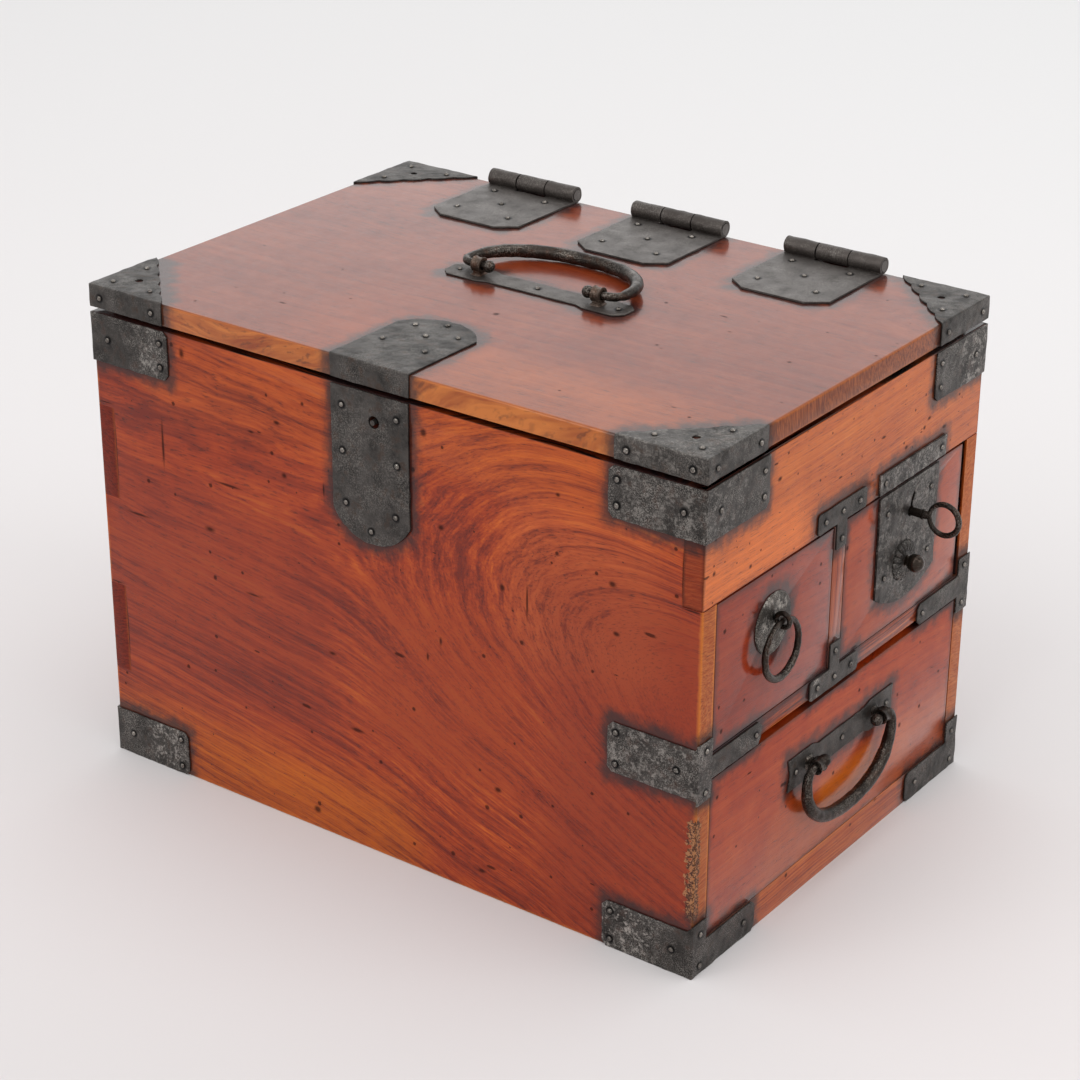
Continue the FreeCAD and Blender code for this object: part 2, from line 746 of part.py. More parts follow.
def lidCornerIron():
    """Three-sided cap on the near right corner of the lid."""
    outer = halfLength + ironThickness
    front = frontFace - ironThickness
    span = lidIronLeg + ironThickness

    def place(u, v):
        return point(outer - u, front + v, lidTop)

    outline = [((0, 0), (span, 0))] + lobedEdge(span) + [((0, span), (0, 0))]
    top = prism(outline, place, point(0, 0, ironThickness))
    hole = turned(lidIronHole / 2, point(halfLength - lidIronHoleInset, frontFace + lidIronHoleInset, lidTop),
                  eZ * ironThickness)
    z1 = lidTop + ironThickness
    dropA = block(outer - span, outer, front, frontFace, lidBottom, z1)
    dropB = block(halfLength, outer, front, front + span, lidBottom, z1)
    cap = top.cut(hole).fuse([dropA, dropB]).removeSplitter()

    def fold(p):
        onTop = p.z > z1 - 0.01
        return (p.y < front + 0.01 and onTop) or (p.x > outer - 0.01 and p.y < front + 0.01)

    def side(p):
        return p.x > outer - 0.01 and p.z > z1 - 0.01

    edges = straightEdges(cap, fold) + straightEdges(cap, side)
    unique = [e for i, e in enumerate(edges) if not any(e.isSame(o) for o in edges[:i])]
    return cap.makeChamfer(foldBevel, unique)


def buildLid():
    keep("lid_board", lidBoard())
    half = battenWidth / 2
    batten = block(battenSpacing / 2 - half, battenSpacing / 2 + half, -innerSide + battenInset,
                   innerSide - battenInset, lidBottom - battenThickness, lidBottom)
    batten = softened(batten, battenThickness / 3, lambda p: p.z < lidBottom - battenThickness + 0.01)
    keep("lid_battens", batten, flipX(batten))
    front = lidCornerIron()
    back = flipY(front)
    back.translate(point(0, -lidBackGap, 0))
    keep("lid_corner_irons", front, flipX(front), back, flipX(back))


# ---- hinges ----
def knuckle(x0, x1):
    tube = rod(knuckleRadius, x1 - x0, point(x0, hingeY, hingeZ), eX)
    bore = rod(pinRadius + pinClearance, x1 - x0, point(x0, hingeY, hingeZ), eX)
    return tube, bore


def knuckleSpans(middle):
    """Three knuckles: the outer two on the lid leaf, the middle one on the fixed leaf."""
    third = hingeWidth / 3
    left = middle - hingeWidth / 2
    gap = knuckleGap / 2
    return [(left, left + third - gap), (left + third + gap, left + 2 * third - gap),
            (left + 2 * third + gap, left + hingeWidth)]


def lidLeaf(middle):
    half = hingeWidth / 2
    front = halfDepth - hingeReach
    outline = loop([(middle - half, hingeY), (middle - half, front + hingeChamferY),
                    (middle - half + hingeChamferX, front), (middle + half - hingeChamferX, front),
                    (middle + half, front + hingeChamferY), (middle + half, hingeY)])
    place, push = onLid(strapThickness)
    leaf = prism(outline, place, push)
    spans = knuckleSpans(middle)
    left, leftBore = knuckle(*spans[0])
    right, rightBore = knuckle(*spans[2])
    room = block(spans[0][1], spans[2][0], hingeY - knuckleRadius - knuckleRoom, hingeY,
                 lidTop, lidTop + strapThickness)
    return leaf.cut(room).fuse([left, right]).cut([leftBore, rightBore]).removeSplitter()


def fixedLeaf(middle):
    half = hingeWidth / 2
    low = bodyHeight - hingeDrop
    shoulder = lidTop - strapThickness
    spans = knuckleSpans(middle)
    outline = loop([(middle - half, shoulder), (middle - half, low + hingeChamferY),
                    (middle - half + hingeChamferX, low), (middle + half - hingeChamferX, low),
                    (middle + half, low + hingeChamferY), (middle + half, shoulder),
                    (spans[1][1], shoulder), (spans[1][1], hingeZ), (spans[1][0], hingeZ),
                    (spans[1][0], shoulder)])
    leaf = prism(outline, lambda u, v: point(u, halfDepth, v), point(0, strapThickness, 0))
    tube, bore = knuckle(*spans[1])
    return leaf.fuse(tube).cut(bore).removeSplitter()


def hingePin(middle):
    start = middle - hingeWidth / 2
    return rod(pinRadius, hingeWidth, point(start, hingeY, hingeZ), eX)


def buildHinges():
    keep("lid_hinge_leaves", *[lidLeaf(m) for m in hingeMiddles])
    keep("body_hinge_leaves", *[fixedLeaf(m) for m in hingeMiddles])
    keep("hinge_pins", *[hingePin(m) for m in hingeMiddles])


# ---- bail handles, drawn with the pivot along X at the origin and the loop towards -Z ----
def handlePlate(postSpacing, tip):
    """Winged back plate in the XZ plane, lying on y = 0 with its outer face at -y, with the given tips."""
    wide = handlePlateEnd / 2
    waist = handlePlateWaist / 2
    neck = postSpacing / 2 - postRadius
    side = tip + [(neck, wide), (neck - handlePlateNeck, waist)]
    upper = side + [(-u, v) for u, v in reversed(side)]
    lower = [(u, -v) for u, v in reversed(upper) if v > 0]
    return prism(loop(upper + lower), lambda u, v: point(u, 0, v), point(0, -ironThickness, 0))


def cutTip(postSpacing):
    half = postSpacing / 2 + handlePlateOverhang
    wide = handlePlateEnd / 2
    return [(half, wide - lidPlateCut), (half - lidPlateCut, wide)]


def pointedTip(postSpacing):
    half = postSpacing / 2 + handlePlateOverhang
    return [(half - handlePlateHollow, 0), (half, handlePlateEnd / 2)]


def post(centre):
    """Eye that stands on the plate and holds one end of the bail."""
    start = centre - postLength / 2
    pivot = point(start, -postHeight, 0)
    collar = turned(postRadius, pivot, eX * postLength)
    foot = block(start, start + postLength, -postHeight, -ironThickness, -postBore, postBore)
    return collar.fuse(foot).cut(turned(postBore, pivot, eX * postLength)).removeSplitter()


def quarterTurn(runs):
    """Angles of the joints of a quarter turn."""
    return [i * math.pi / 2 / runs for i in range(runs + 1)]


def bail(width, depth, postSpacing):
    """Forged bar bent to a long loop, thick in its middle, its ends turned in through the posts."""
    half = width / 2
    bend = half - bailFlare
    ballX = postSpacing / 2 - postLength / 2 - bailPlay - bailBall
    power = 2 / bailSquareness
    side = [point(ballX, 0, 0)]
    side += [point(bend + bailFlare * math.sin(a), 0, bailFlare * (math.cos(a) - 1))
             for a in quarterTurn(flareRunCount)]
    side += [point(half * math.cos(a) ** power, 0, -bailFlare - (depth - bailFlare) * math.sin(a) ** power)
             for a in quarterTurn(loopRunCount)[1:-1]]
    path = side + [point(0, 0, -depth)] + [point(-p.x, 0, p.z) for p in reversed(side)]
    swell = bailRodRadius - bailEndRadius
    thick = [bailEndRadius + swell * math.sin(-p.z / depth * math.pi / 2) for p in path]
    balls = [ball(bailBall, eX * (sign * ballX), eX, eZ) for sign in (1, -1)]
    return forgedBar(path, thick, eY).fuse(balls).removeSplitter()


def buildLidHandle():
    tilt = math.degrees(math.asin((postHeight - bailRodRadius - bailRestGap) / lidBailDepth))

    def lay(shape):
        """Turn a piece from the front view to lie on the lid, loop towards +Y."""
        placed = shape.copy()
        placed.rotate(origin, eX, -90)
        placed.translate(point(0, 0, lidTop))
        return placed

    keep("lid_handle_plate", lay(handlePlate(lidPostSpacing, cutTip(lidPostSpacing))))
    keep("lid_handle_posts", *[lay(post(s * lidPostSpacing / 2)) for s in (1, -1)])
    loopBar = bail(lidBailWidth, lidBailDepth, lidPostSpacing)
    loopBar.rotate(origin, eX, 90 - tilt)
    loopBar.translate(point(0, 0, lidTop + postHeight))
    keep("lid_bail", loopBar)


def buildDrawerHandle():
    def hang(shape):
        """Turn a piece from the front view to the drawer end."""
        placed = shape.copy()
        placed.rotate(origin, eZ, 90)
        placed.translate(point(halfLength, drawerHandleOffset, drawerHandleZ))
        return placed

    keep("lower_drawer_handle_plate", hang(handlePlate(drawerPostSpacing, pointedTip(drawerPostSpacing))))
    keep("lower_drawer_posts", *[hang(post(s * drawerPostSpacing / 2)) for s in (1, -1)])
    loopBar = bail(drawerBailWidth, drawerBailDepth, drawerPostSpacing)
    loopBar.translate(point(0, -postHeight, 0))
    keep("lower_drawer_bail", hang(loopBar))


# ---- drawers ----
def drawer(name, span, z0, z1):
    """Lapped front, two sides, back and grooved bottom in the given opening."""
    y0, y1 = span
    x1 = halfLength
    x0 = -innerEnd + drawerBackGap
    low = z0 + drawerSeat
    high = z1 - drawerHead
    rim = high - drawerTopDrop
    inside = x1 - drawerFrontThickness
    lap = inside + drawerLap
    sideA = block(x0, lap, y0, y0 + drawerSideThickness, low, rim)
    sideB = block(x0, lap, y1 - drawerSideThickness, y1, low, rim)
    bottom = block(x0 + drawerSideThickness - drawerGroove, inside + drawerGroove,
                   y0 + drawerSideThickness - drawerGroove, y1 - drawerSideThickness + drawerGroove,
                   low + drawerBottomRise, low + drawerBottomRise + drawerBottomThickness)
    back = block(x0, x0 + drawerSideThickness, y0 + drawerSideThickness, y1 - drawerSideThickness,
                 low, rim)
    front = block(inside, x1, y0, y1, low, high).cut([sideA, sideB, bottom])
    keep(name + "_front", front)
    keep(name + "_sides", sideA.cut(bottom), sideB.cut(bottom))
    keep(name + "_back", back.cut(bottom))
    keep(name + "_bottom", bottom)


def buildDrawers():
    drawer("small_drawer", smallDrawerSpan, middleRailTop, bayTop)
    drawer("lock_drawer", lockDrawerSpan, middleRailTop, bayTop)
    drawer("lower_drawer", lowerDrawerSpan, sillHeight, middleRailBottom)


# ---- ring pull ----
def buildRingPull():
    inside = halfLength - drawerFrontThickness
    pivot = point(halfLength + ringProud, ringY, ringPivotZ)
    spots = circleSpots(point(halfLength, ringY, ringPlateZ), eY, eZ, ringPlateRadius, ringRunCount)
    plate = polygonFace(spots).extrude(eX * ironThickness)
    rim = straightEdges(plate, lambda p: p.x > halfLength + ironThickness / 2)
    plate = plate.makeChamfer(ironThickness / 2, rim)
    hole = turned(eyeWire, point(inside, ringY, ringPivotZ), eX * (drawerFrontThickness + ironThickness))
    shank = turned(eyeWire, point(inside, ringY, ringPivotZ), eX * (pivot.x - eyeRadius - inside))
    side = pivot - eY * eyeWire
    eye = turned(eyeRadius + eyeWire, side, eY * (2 * eyeWire))
    bore = turned(eyeRadius - eyeWire, side, eY * (2 * eyeWire))
    keep("small_drawer_ring_plate", plate.cut(hole))
    keep("small_drawer_ring_eye", eye.cut(bore).fuse(shank).removeSplitter())
    keep("small_drawer_ring", ring(ringRadius, ringWireTop, ringWire, pivot - eZ * ringRadius, eX, eZ))
    parts["small_drawer_front"] = [parts["small_drawer_front"][0].cut(hole)]


# ---- drawer lock ----
def drawerBoltX():
    return halfLength - drawerFrontThickness + (drawerCaseDepth - drawerBoltThickness) / 2


def lockPlate():
    """Plate with a shallow round lower end and a curved keyhole."""
    place, push = onEnd(strapThickness)
    half = lockPlateWidth / 2
    top = drawerFrontTop
    shoulder = top - lockPlateDrop + lockPlateRound
    y = lockPlateY
    plate = prism([((y - half, shoulder), (y - half, top)), ((y - half, top), (y + half, top)),
                   ((y + half, top), (y + half, shoulder)),
                   ((y + half, shoulder), (y, top - lockPlateDrop), (y - half, shoulder))], place, push)
    return plate.cut(keyhole())


def keyhole():
    """Round hole for the shaft with a curved slot that rises from it."""
    start = halfLength - drawerFrontThickness + lockWall
    through = drawerFrontThickness - lockWall + strapThickness
    hole = rod(keyHoleRadius, through, point(start, keyY, keyZ), eX)
    angles = [math.pi - k * keySlotHeight / keySlotRadius for k in (0, 0.5, 1)]
    inner = keySlotRadius - keySlotWidth / 2
    outer = keySlotRadius + keySlotWidth / 2

    def at(radius, angle):
        return (keyY + keySlotRadius + radius * math.cos(angle), keyZ + radius * math.sin(angle))

    outline = [(at(inner, angles[0]), at(inner, angles[1]), at(inner, angles[2])),
               (at(inner, angles[2]), at(outer, angles[2])),
               (at(outer, angles[2]), at(outer, angles[1]), at(outer, angles[0])),
               (at(outer, angles[0]), at(inner, angles[0]))]
    slot = prism(outline, lambda u, v: point(start, u, v), point(through, 0, 0))
    return hole.fuse(slot).removeSplitter()


def lockCaseBlock(shrink=0.0):
    half = drawerCaseWidth / 2 - shrink
    x0 = halfLength - drawerFrontThickness
    return block(x0 + shrink, x0 + drawerCaseDepth - shrink, lockPlateY - half, lockPlateY + half,
                 drawerFrontTop - drawerCaseHeight + shrink, drawerFrontTop)


def drawerLockCase():
    hollow = lockCaseBlock(lockWall)
    return lockCaseBlock().cut(hollow).cut(keyhole())


def drawerBolt():
    half = drawerBoltWidth / 2
    x0 = drawerBoltX()
    bottom = keyZ + keyBitReach + keyBitRoom - drawerBoltTravel
    return block(x0, x0 + drawerBoltThickness, lockPlateY - half, lockPlateY + half,
                 bottom, drawerFrontTop - drawerBoltRest)


def key():
    """Shaft with a flat bit inside the case and a ring bow outside."""
    start = halfLength - drawerFrontThickness + lockWall + slideClearance
    bowCentre = point(halfLength + strapThickness + keyRingCentre, keyY, keyZ)
    shaft = turned(keyShaftRadius, point(start, keyY, keyZ), eX * (bowCentre.x - keyRingRadius - start))
    bow = ring(keyRingRadius, keyRingWire, keyRingWire, bowCentre, eY, eX)
    half = keyBitWidth / 2
    bitEnd = drawerBoltX() + drawerBoltThickness
    bit = block(start, bitEnd, keyY - half, keyY + half, keyZ - keyBitReach, keyZ)
    return shaft.fuse([bow, bit]).removeSplitter()


def rosetteNeck(length, back):
    return turned(knobNeck, point(halfLength + strapThickness - back, rosetteY, rosetteZ), eX * length)


def rosette():
    """Flower-shaped washer: a low cone whose rim is lobed into petals."""
    base = point(halfLength + strapThickness, rosetteY, rosetteZ)
    count = 2 * rosettePetals

    def circle(rise, radius):
        return circleSpots(base + eX * rise, eY, eZ, radius, count)

    def lobed(crests, notches):
        return [notches[i] if i % 2 else crests[i] for i in range(count)]

    valley = rosetteRadius - rosetteNotch
    foot = lobed(circle(0, rosetteRadius), circle(0, valley))
    lip = lobed(circle(rosettePetalRise, rosetteRadius), circle(rosetteNotchRise, valley))
    crown = circle(rosetteThickness, rosetteRadius / 3)
    faces = [polygonFace(foot), polygonFace(crown)]
    for i in range(count):
        j = (i + 1) % count
        faces += [polygonFace([foot[i], foot[j], lip[j], lip[i]]), polygonFace([lip[i], lip[j], crown[j]]),
                  polygonFace([lip[i], crown[j], crown[i]])]
    flower = Part.makeSolid(Part.makeShell(faces))
    if flower.Volume < 0:
        flower.reverse()
    return flower.cut(rosetteNeck(rosetteThickness, 0))


def pullKnob():
    stem = rosetteNeck(strapThickness + knobStand + knobTang, strapThickness + knobTang)
    centre = point(halfLength + strapThickness + knobStand, rosetteY, rosetteZ)
    return stem.fuse(ball(knobRadius, centre, eX, eZ)).removeSplitter()


def buildDrawerLock():
    stemHole = rosetteNeck(strapThickness + knobTang, strapThickness + knobTang)
    keep("lock_plate", lockPlate().cut(stemHole))
    keep("lock_case", drawerLockCase())
    keep("lock_bolt", drawerBolt())
    keep("lock_key", key())
    keep("lock_rosette", rosette())
    keep("lock_knob", pullKnob())
    front = parts["lock_drawer_front"][0].cut([lockCaseBlock(), keyhole(), stemHole])
    parts["lock_drawer_front"] = [front]


# ---- nails ----
def nail(spot, direction):
    """Low faceted head that sits on an iron."""
    head = pyramid(circleSpots(origin, eX, eY, nailRadius, nailSideCount), eZ * nailHeight)
    head.Placement = FreeCAD.Placement(spot, FreeCAD.Rotation(eZ, direction))
    return head


def endNails(spots, thickness):
    return [nail(point(halfLength + thickness, y, z), eX) for y, z in spots]


def legNails(front, end):
    """Nails on the near corner, as (distance from the corner, height): long side, then end."""
    heads = [nail(point(halfLength - u, frontFace - ironThickness, v), -eY) for u, v in front]
    return heads + endNails([(frontFace + u, v) for u, v in end], ironThickness)


def flipped(heads, *flips):
    return [flip(head) for flip in flips for head in heads]


def topIronNails():
    low = bodyHeight - topIronHeight + strapNailGap
    high = bodyHeight - strapNailGap
    spots = [(cornerNail, (low + high) / 2), (topIronLeg - nailInset, low), (topIronLeg - nailInset, high)]
    heads = legNails(spots, spots)
    return heads + flipped(heads, flipX, flipY, lambda h: flipX(flipY(h)))


def legSpots(leg, low, high):
    """One nail near the corner and two at the free end of a leg."""
    end = leg - nailInset
    return [(cornerNail, (low + high) / 2), (end, low + nailInset), (end, high - nailInset)]


def middleIronNails():
    seam = middleRailTop - middleRailHeight / 2
    around = legSpots(middleIronLeg, seam - middleIronHeight / 2, seam + middleIronHeight / 2)
    reach = middleIronStrip / 2 - nailInset
    onGrain = [(boardThickness / 2, seam - reach), (boardThickness / 2, seam + reach),
               (middleIronArm - nailInset, seam)]
    return legNails(around, onGrain)


def bottomIronNails():
    around = legSpots(bottomIronLeg, 0, bottomIronHeight)
    onGrain = [(boardThickness / 2, nailInset), (boardThickness / 2, bottomIronStrip - strapNailGap),
               (bottomIronArm - 2 * nailInset, sillHeight / 2)]
    near = legNails(around, onGrain)
    return near, flipped(legNails(around, around), flipX)


def teeNails():
    spots = []
    for seam, up in ((strapSeam, 1), (middleRailTop - drawerSeat, -1)):
        row = seam + up * teeBarHeight / 2
        reach = teeBar / 2 - strapNailGap
        spots += [(dividerCentre + u, row) for u in (-reach, 0, reach)]
        spots.append((dividerCentre, seam - up * (teeStemLength - nailInset)))
    return endNails(spots, ironThickness)


def keeperNails():
    row = strapSeam + keeperHeight / 2
    reach = keeperLength / 2 - nailInset
    middle = lockPlateY + keeperOffset
    return endNails([(middle - reach, row), (middle + reach, row)], strapThickness)


def chestNails():
    heads = topIronNails()
    near, left = bottomIronNails()
    for group in (middleIronNails(), near, left):
        heads += group + flipped(group, flipY)
    heads += teeNails() + keeperNails()
    plate = [(s * half, bodyHeight - drop) for half, drop in frontPlateNails for s in (-1, 1)]
    plate.append((0, bodyHeight - frontPlateLength + frontPlateRound / 2))
    heads += [nail(point(lidLockCentre + x, frontFace - strapThickness, z), -eY) for x, z in plate]
    back = halfDepth + strapThickness
    heads += [nail(point(m + x, back, bodyHeight - drop), eY)
              for m in hingeMiddles for x, drop in fixedLeafNails]
    return heads


def lidNails():
    z = lidTop + ironThickness
    near = [nail(point(halfLength - u, frontFace + v, z), eZ) for u, v in lidIronNails]
    middle = (lidBottom + lidTop) / 2
    sides = [(strapNailGap, middle), (lidIronLeg - strapNailGap, middle)]
    near += legNails(sides, sides)
    far = flipped(near, flipY)
    for head in far:
        head.translate(point(0, -lidBackGap, 0))
    heads = near + far
    heads += flipped(heads, flipX)
    heads += [nail(point(lidLockCentre + x, frontFace + y, z), eZ) for x, y in haspNails]
    leafTop = lidTop + strapThickness
    heads += [nail(point(m + x, halfDepth - y, leafTop), eZ) for m in hingeMiddles for x, y in lidLeafNails]
    reach = lidPostSpacing / 2 + handleNailGap
    heads += [nail(point(x, 0, z), eZ) for x in (-reach, 0, reach)]
    return heads


def plateNails():
    """Nails of the drawer lock plate and of the lower handle plate."""
    lock = [(lockPlateY + s * half, drawerFrontTop - drop) for half, drop in lockPlateNails for s in (-1, 1)]
    reach = drawerPostSpacing / 2 + handleNailGap
    handle = [(drawerHandleOffset + u, drawerHandleZ) for u in (-reach, 0, reach)]
    return endNails(lock, strapThickness), endNails(handle, ironThickness)


def buildNails():
    keep("chest_nails", *chestNails())
    keep("lid_nails", *lidNails())
    lock, handle = plateNails()
    keep("lock_plate_nails", *lock)
    keep("handle_plate_nails", *handle)


def writeParts():
    os.makedirs("parts", exist_ok=True)
    for name, solids in parts.items():
        shape = solids[0] if len(solids) == 1 else Part.makeCompound(solids)
        shape.exportStep("parts/" + name + ".step")
    print(len(parts), "nodes,", sum(len(s) for s in parts.values()), "solids")


buildCarcass()
buildIrons()
buildLidLock()
buildLid()
buildHinges()
buildLidHandle()
buildDrawerHandle()
buildDrawers()
buildRingPull()
buildDrawerLock()
buildNails()
writeParts()
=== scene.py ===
import functools
import json
import math

import bmesh
import bpy
from mathutils import Matrix, Vector, noise


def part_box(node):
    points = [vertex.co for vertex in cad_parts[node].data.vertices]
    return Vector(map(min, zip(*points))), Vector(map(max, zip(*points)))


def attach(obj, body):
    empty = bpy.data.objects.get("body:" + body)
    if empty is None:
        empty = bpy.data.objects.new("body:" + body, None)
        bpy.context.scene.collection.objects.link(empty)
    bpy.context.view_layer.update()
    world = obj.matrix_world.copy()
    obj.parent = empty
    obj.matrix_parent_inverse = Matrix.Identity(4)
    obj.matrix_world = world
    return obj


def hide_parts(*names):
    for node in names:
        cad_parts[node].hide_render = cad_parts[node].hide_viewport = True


# Lidded ship chest of lacquered zelkova with forged iron mounts.
# Metres, +Z up, drawers at +X, lid lock at -Y, origin in the middle of the underside.
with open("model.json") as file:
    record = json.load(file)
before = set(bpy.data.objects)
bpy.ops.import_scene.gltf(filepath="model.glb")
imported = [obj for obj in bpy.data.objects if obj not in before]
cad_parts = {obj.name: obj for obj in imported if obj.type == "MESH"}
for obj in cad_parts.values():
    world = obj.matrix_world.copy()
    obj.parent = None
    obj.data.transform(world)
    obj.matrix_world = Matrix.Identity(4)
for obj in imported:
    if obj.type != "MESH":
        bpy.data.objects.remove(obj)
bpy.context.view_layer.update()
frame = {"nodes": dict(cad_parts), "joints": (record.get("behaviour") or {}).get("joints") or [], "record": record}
nodes = frame["nodes"]
mm = 0.001
farOff = 99.0       # millimetres, past the reach of every stain, glow and rim
xAxis, yAxis, zAxis = Vector((1, 0, 0)), Vector((0, 1, 0)), Vector((0, 0, 1))
print("frame loaded:", len(nodes), "nodes")


def paint(hexCode):
    # colours are written as sRGB and turned to linear
    channels = [int(hexCode[i:i + 2], 16) / 255 for i in (1, 3, 5)]
    linear = [c / 12.92 if c <= 0.04045 else ((c + 0.055) / 1.055) ** 2.4 for c in channels]
    return (*linear, 1.0)


def addNode(tree, kind, *sources, out=0, stops=None, **settings):
    # a kind may name its operation after a space, sources fill the inputs in order, a dictionary fills
    # them by name, and the chosen output comes back
    kind, _, operation = kind.partition(" ")
    node = tree.nodes.new("ShaderNode" + kind)
    if operation:
        node.operation = operation
    for name, value in settings.items():
        setattr(node, name, value)
    filled = {}
    for i, source in enumerate(sources):
        filled.update(source if isinstance(source, dict) else {i: source})
    for key, value in filled.items():
        if isinstance(value, bpy.types.NodeSocket):
            tree.links.new(value, node.inputs[key])
        elif value is not None:
            node.inputs[key].default_value = value
    if stops:
        ramp = node.color_ramp.elements
        while len(ramp) < len(stops):
            ramp.new(1.0)
        for element, (place, shade) in zip(ramp, stops):
            element.position = place
            element.color = shade if isinstance(shade, tuple) else (shade, shade, shade, 1.0)
    return node.outputs[out]


def newMaterial(name):
    # a bare material, the function that adds its nodes, and the spot on the piece in millimetres
    material = bpy.data.materials.new(name)
    material.use_nodes = True
    material.node_tree.nodes.clear()
    add = functools.partial(addNode, material.node_tree)
    spot = add("VectorMath SCALE", add("TexCoord", out="Object"), {"Scale": 1 / mm})
    return material, add, spot


def finishMaterial(material, surface):
    tree = material.node_tree
    tree.links.new(surface, tree.nodes.new("ShaderNodeOutputMaterial").inputs["Surface"])
    return material


def weldedShape(nodeName):
    # a CAD node's mesh with its corners joined, which the caller frees
    shape = bmesh.new()
    shape.from_mesh(nodes[nodeName].data)
    bmesh.ops.remove_doubles(shape, verts=shape.verts, dist=0.01 * mm)
    return shape


def islandsOf(nodeName):
    # the separate solids of one CAD node, as lists of their corners
    shape = weldedShape(nodeName)
    seen = set()
    islands = []
    for start in shape.verts:
        if start in seen:
            continue
        seen.add(start)
        pile, island = [start], []
        while pile:
            corner = pile.pop()
            island.append(corner.co.copy())
            for edge in corner.link_edges:
                other = edge.other_vert(corner)
                if other not in seen:
                    seen.add(other)
                    pile.append(other)
        islands.append(island)
    shape.free()
    return islands


def around(count, shift=0.0):
    # angles of so many even steps round a circle
    return [2 * math.pi * (i + shift) / count for i in range(count)]


def middleOf(corners):
    return sum(corners, Vector()) / len(corners)


def boxOf(corners):
    return (Vector([min(c[i] for c in corners) for i in range(3)]),
            Vector([max(c[i] for c in corners) for i in range(3)]))


def facesOf(nodeName):
    # the faces of one CAD node, as corners in millimetres
    shape = weldedShape(nodeName)
    faces = [[corner.co / mm for corner in face.verts] for face in shape.faces]
    shape.free()
    return faces


# the beaten plates and the kind of iron each one is, of the kinds listed with the irons below
plateKinds = {
    "top_corner_irons": "rubbed", "middle_corner_irons": "rubbed", "bottom_corner_irons": "rubbed",
    "divider_tee_irons": "plate", "keeper_strap": "rubbed", "front_lock_plate": "plate",
    "lid_corner_irons": "plate", "lid_hasp": "plate", "lid_hinge_leaves": "leaf",
    "body_hinge_leaves": "leaf", "lid_handle_plate": "leaf", "lower_drawer_handle_plate": "plate",
    "small_drawer_ring_plate": "pitted", "lock_plate": "rubbed",
}
ironFaces = [facesOf(name) for name in plateKinds]
# how the irons' prints on the boards are found, in millimetres
ironPrints = {
    "flat": 0.1,        # how far off a board's face a face may lie and still print on it
    "join": 0.2,        # gap over which two spans of a row become one
    "step": 6.0,        # change from one row to the next that starts a new box
    "margin": 9.0,      # how far outside a board an iron still stains it
}


def rowSpans(outlines, height):
    # where a row at this height runs inside flat outlines, as joined spans
    spans = []
    for outline in outlines:
        cuts = [a[0] + (b[0] - a[0]) * (height - a[1]) / (b[1] - a[1])
                for a, b in zip(outline, outline[1:] + outline[:1])
                if (a[1] - height) * (b[1] - height) < 0]
        if cuts:
            spans.append([min(cuts), max(cuts)])
    merged = []
    for span in sorted(spans):
        if merged and span[0] < merged[-1][1] + ironPrints["join"]:
            merged[-1][1] = max(merged[-1][1], span[1])
        else:
            merged.append(span)
    return merged


def printsOn(axis, level, low, high):
    # what the irons cover of one flat face of a board, as boxes in millimetres
    u, v = [i for i in range(3) if i != axis]
    margin = ironPrints["margin"]
    boxes = []
    for faces in ironFaces:
        outlines = [[(c[u], c[v]) for c in face] for face in faces
                    if all(abs(c[axis] - level) < ironPrints["flat"] for c in face)]
        rows = sorted({round(spot[1], 1) for outline in outlines for spot in outline})
        own = []
        for bottom, top in zip(rows, rows[1:]):
            for left, right in rowSpans(outlines, (bottom + top) / 2):
                below = [b for b in own if b[3] == bottom
                         and abs(b[0] - left) + abs(b[1] - right) < ironPrints["step"]]
                if below:
                    below[0][3] = top
                else:
                    own.append([left, right, bottom, top])
        boxes += own
    found = []
    for left, right, bottom, top in boxes:
        corner0, corner1 = Vector(), Vector()
        corner0[axis], corner0[u], corner0[v] = level - 1, left, bottom
        corner1[axis], corner1[u], corner1[v] = level + 1, right, top
        if all(corner0[i] < high[i] + margin and corner1[i] > low[i] - margin for i in range(3)):
            found.append((corner0, corner1))
    return found


def pastSides(add, spot, low, high):
    # how far a spot lies outside each pair of sides of a box, less than 0 inside
    away = add("VectorMath SUBTRACT", spot, tuple((low + high) / 2))
    away = add("VectorMath ABSOLUTE", away)
    return add("VectorMath SUBTRACT", away, tuple((high - low) / 2))


def reachTo(add, spot, boxes):
    # distance in millimetres to the nearest of some boxes
    reach = farOff
    for low, high in boxes:
        past = add("VectorMath MAXIMUM", pastSides(add, spot, low, high), (0, 0, 0))
        past = add("VectorMath LENGTH", past, out="Value")
        reach = add("Math MINIMUM", past, reach)
    return reach


def nearBox(add, spot, low, high, soft):
    # 1 inside a box given in millimetres, falling to 0 at the soft distance outside it
    reach = reachTo(add, spot, [(Vector(low), Vector(high))])
    return add("MapRange", reach, 0.0, soft, 1.0, 0.0, interpolation_type="SMOOTHSTEP")


def strongest(add, spot, places, ground):
    # the most of a ground value and some places: low corner, high corner, softness and strength of each
    for low, high, soft, strength in places:
        extra = add("Math MULTIPLY", nearBox(add, spot, low, high, soft), strength)
        ground = add("Math MAXIMUM", extra, ground)
    return ground


def grainNoise(add, along, across, deep, sizes, detail=2.0, roughness=0.5):
    # noise whose grain is so many millimetres long, wide and deep
    spot = add("CombineXYZ", along, across, deep)
    scaled = add("VectorMath MULTIPLY", spot, tuple(1 / s for s in sizes))
    return add("TexNoise", {"Vector": scaled, "Scale": 1.0, "Detail": detail, "Roughness": roughness})


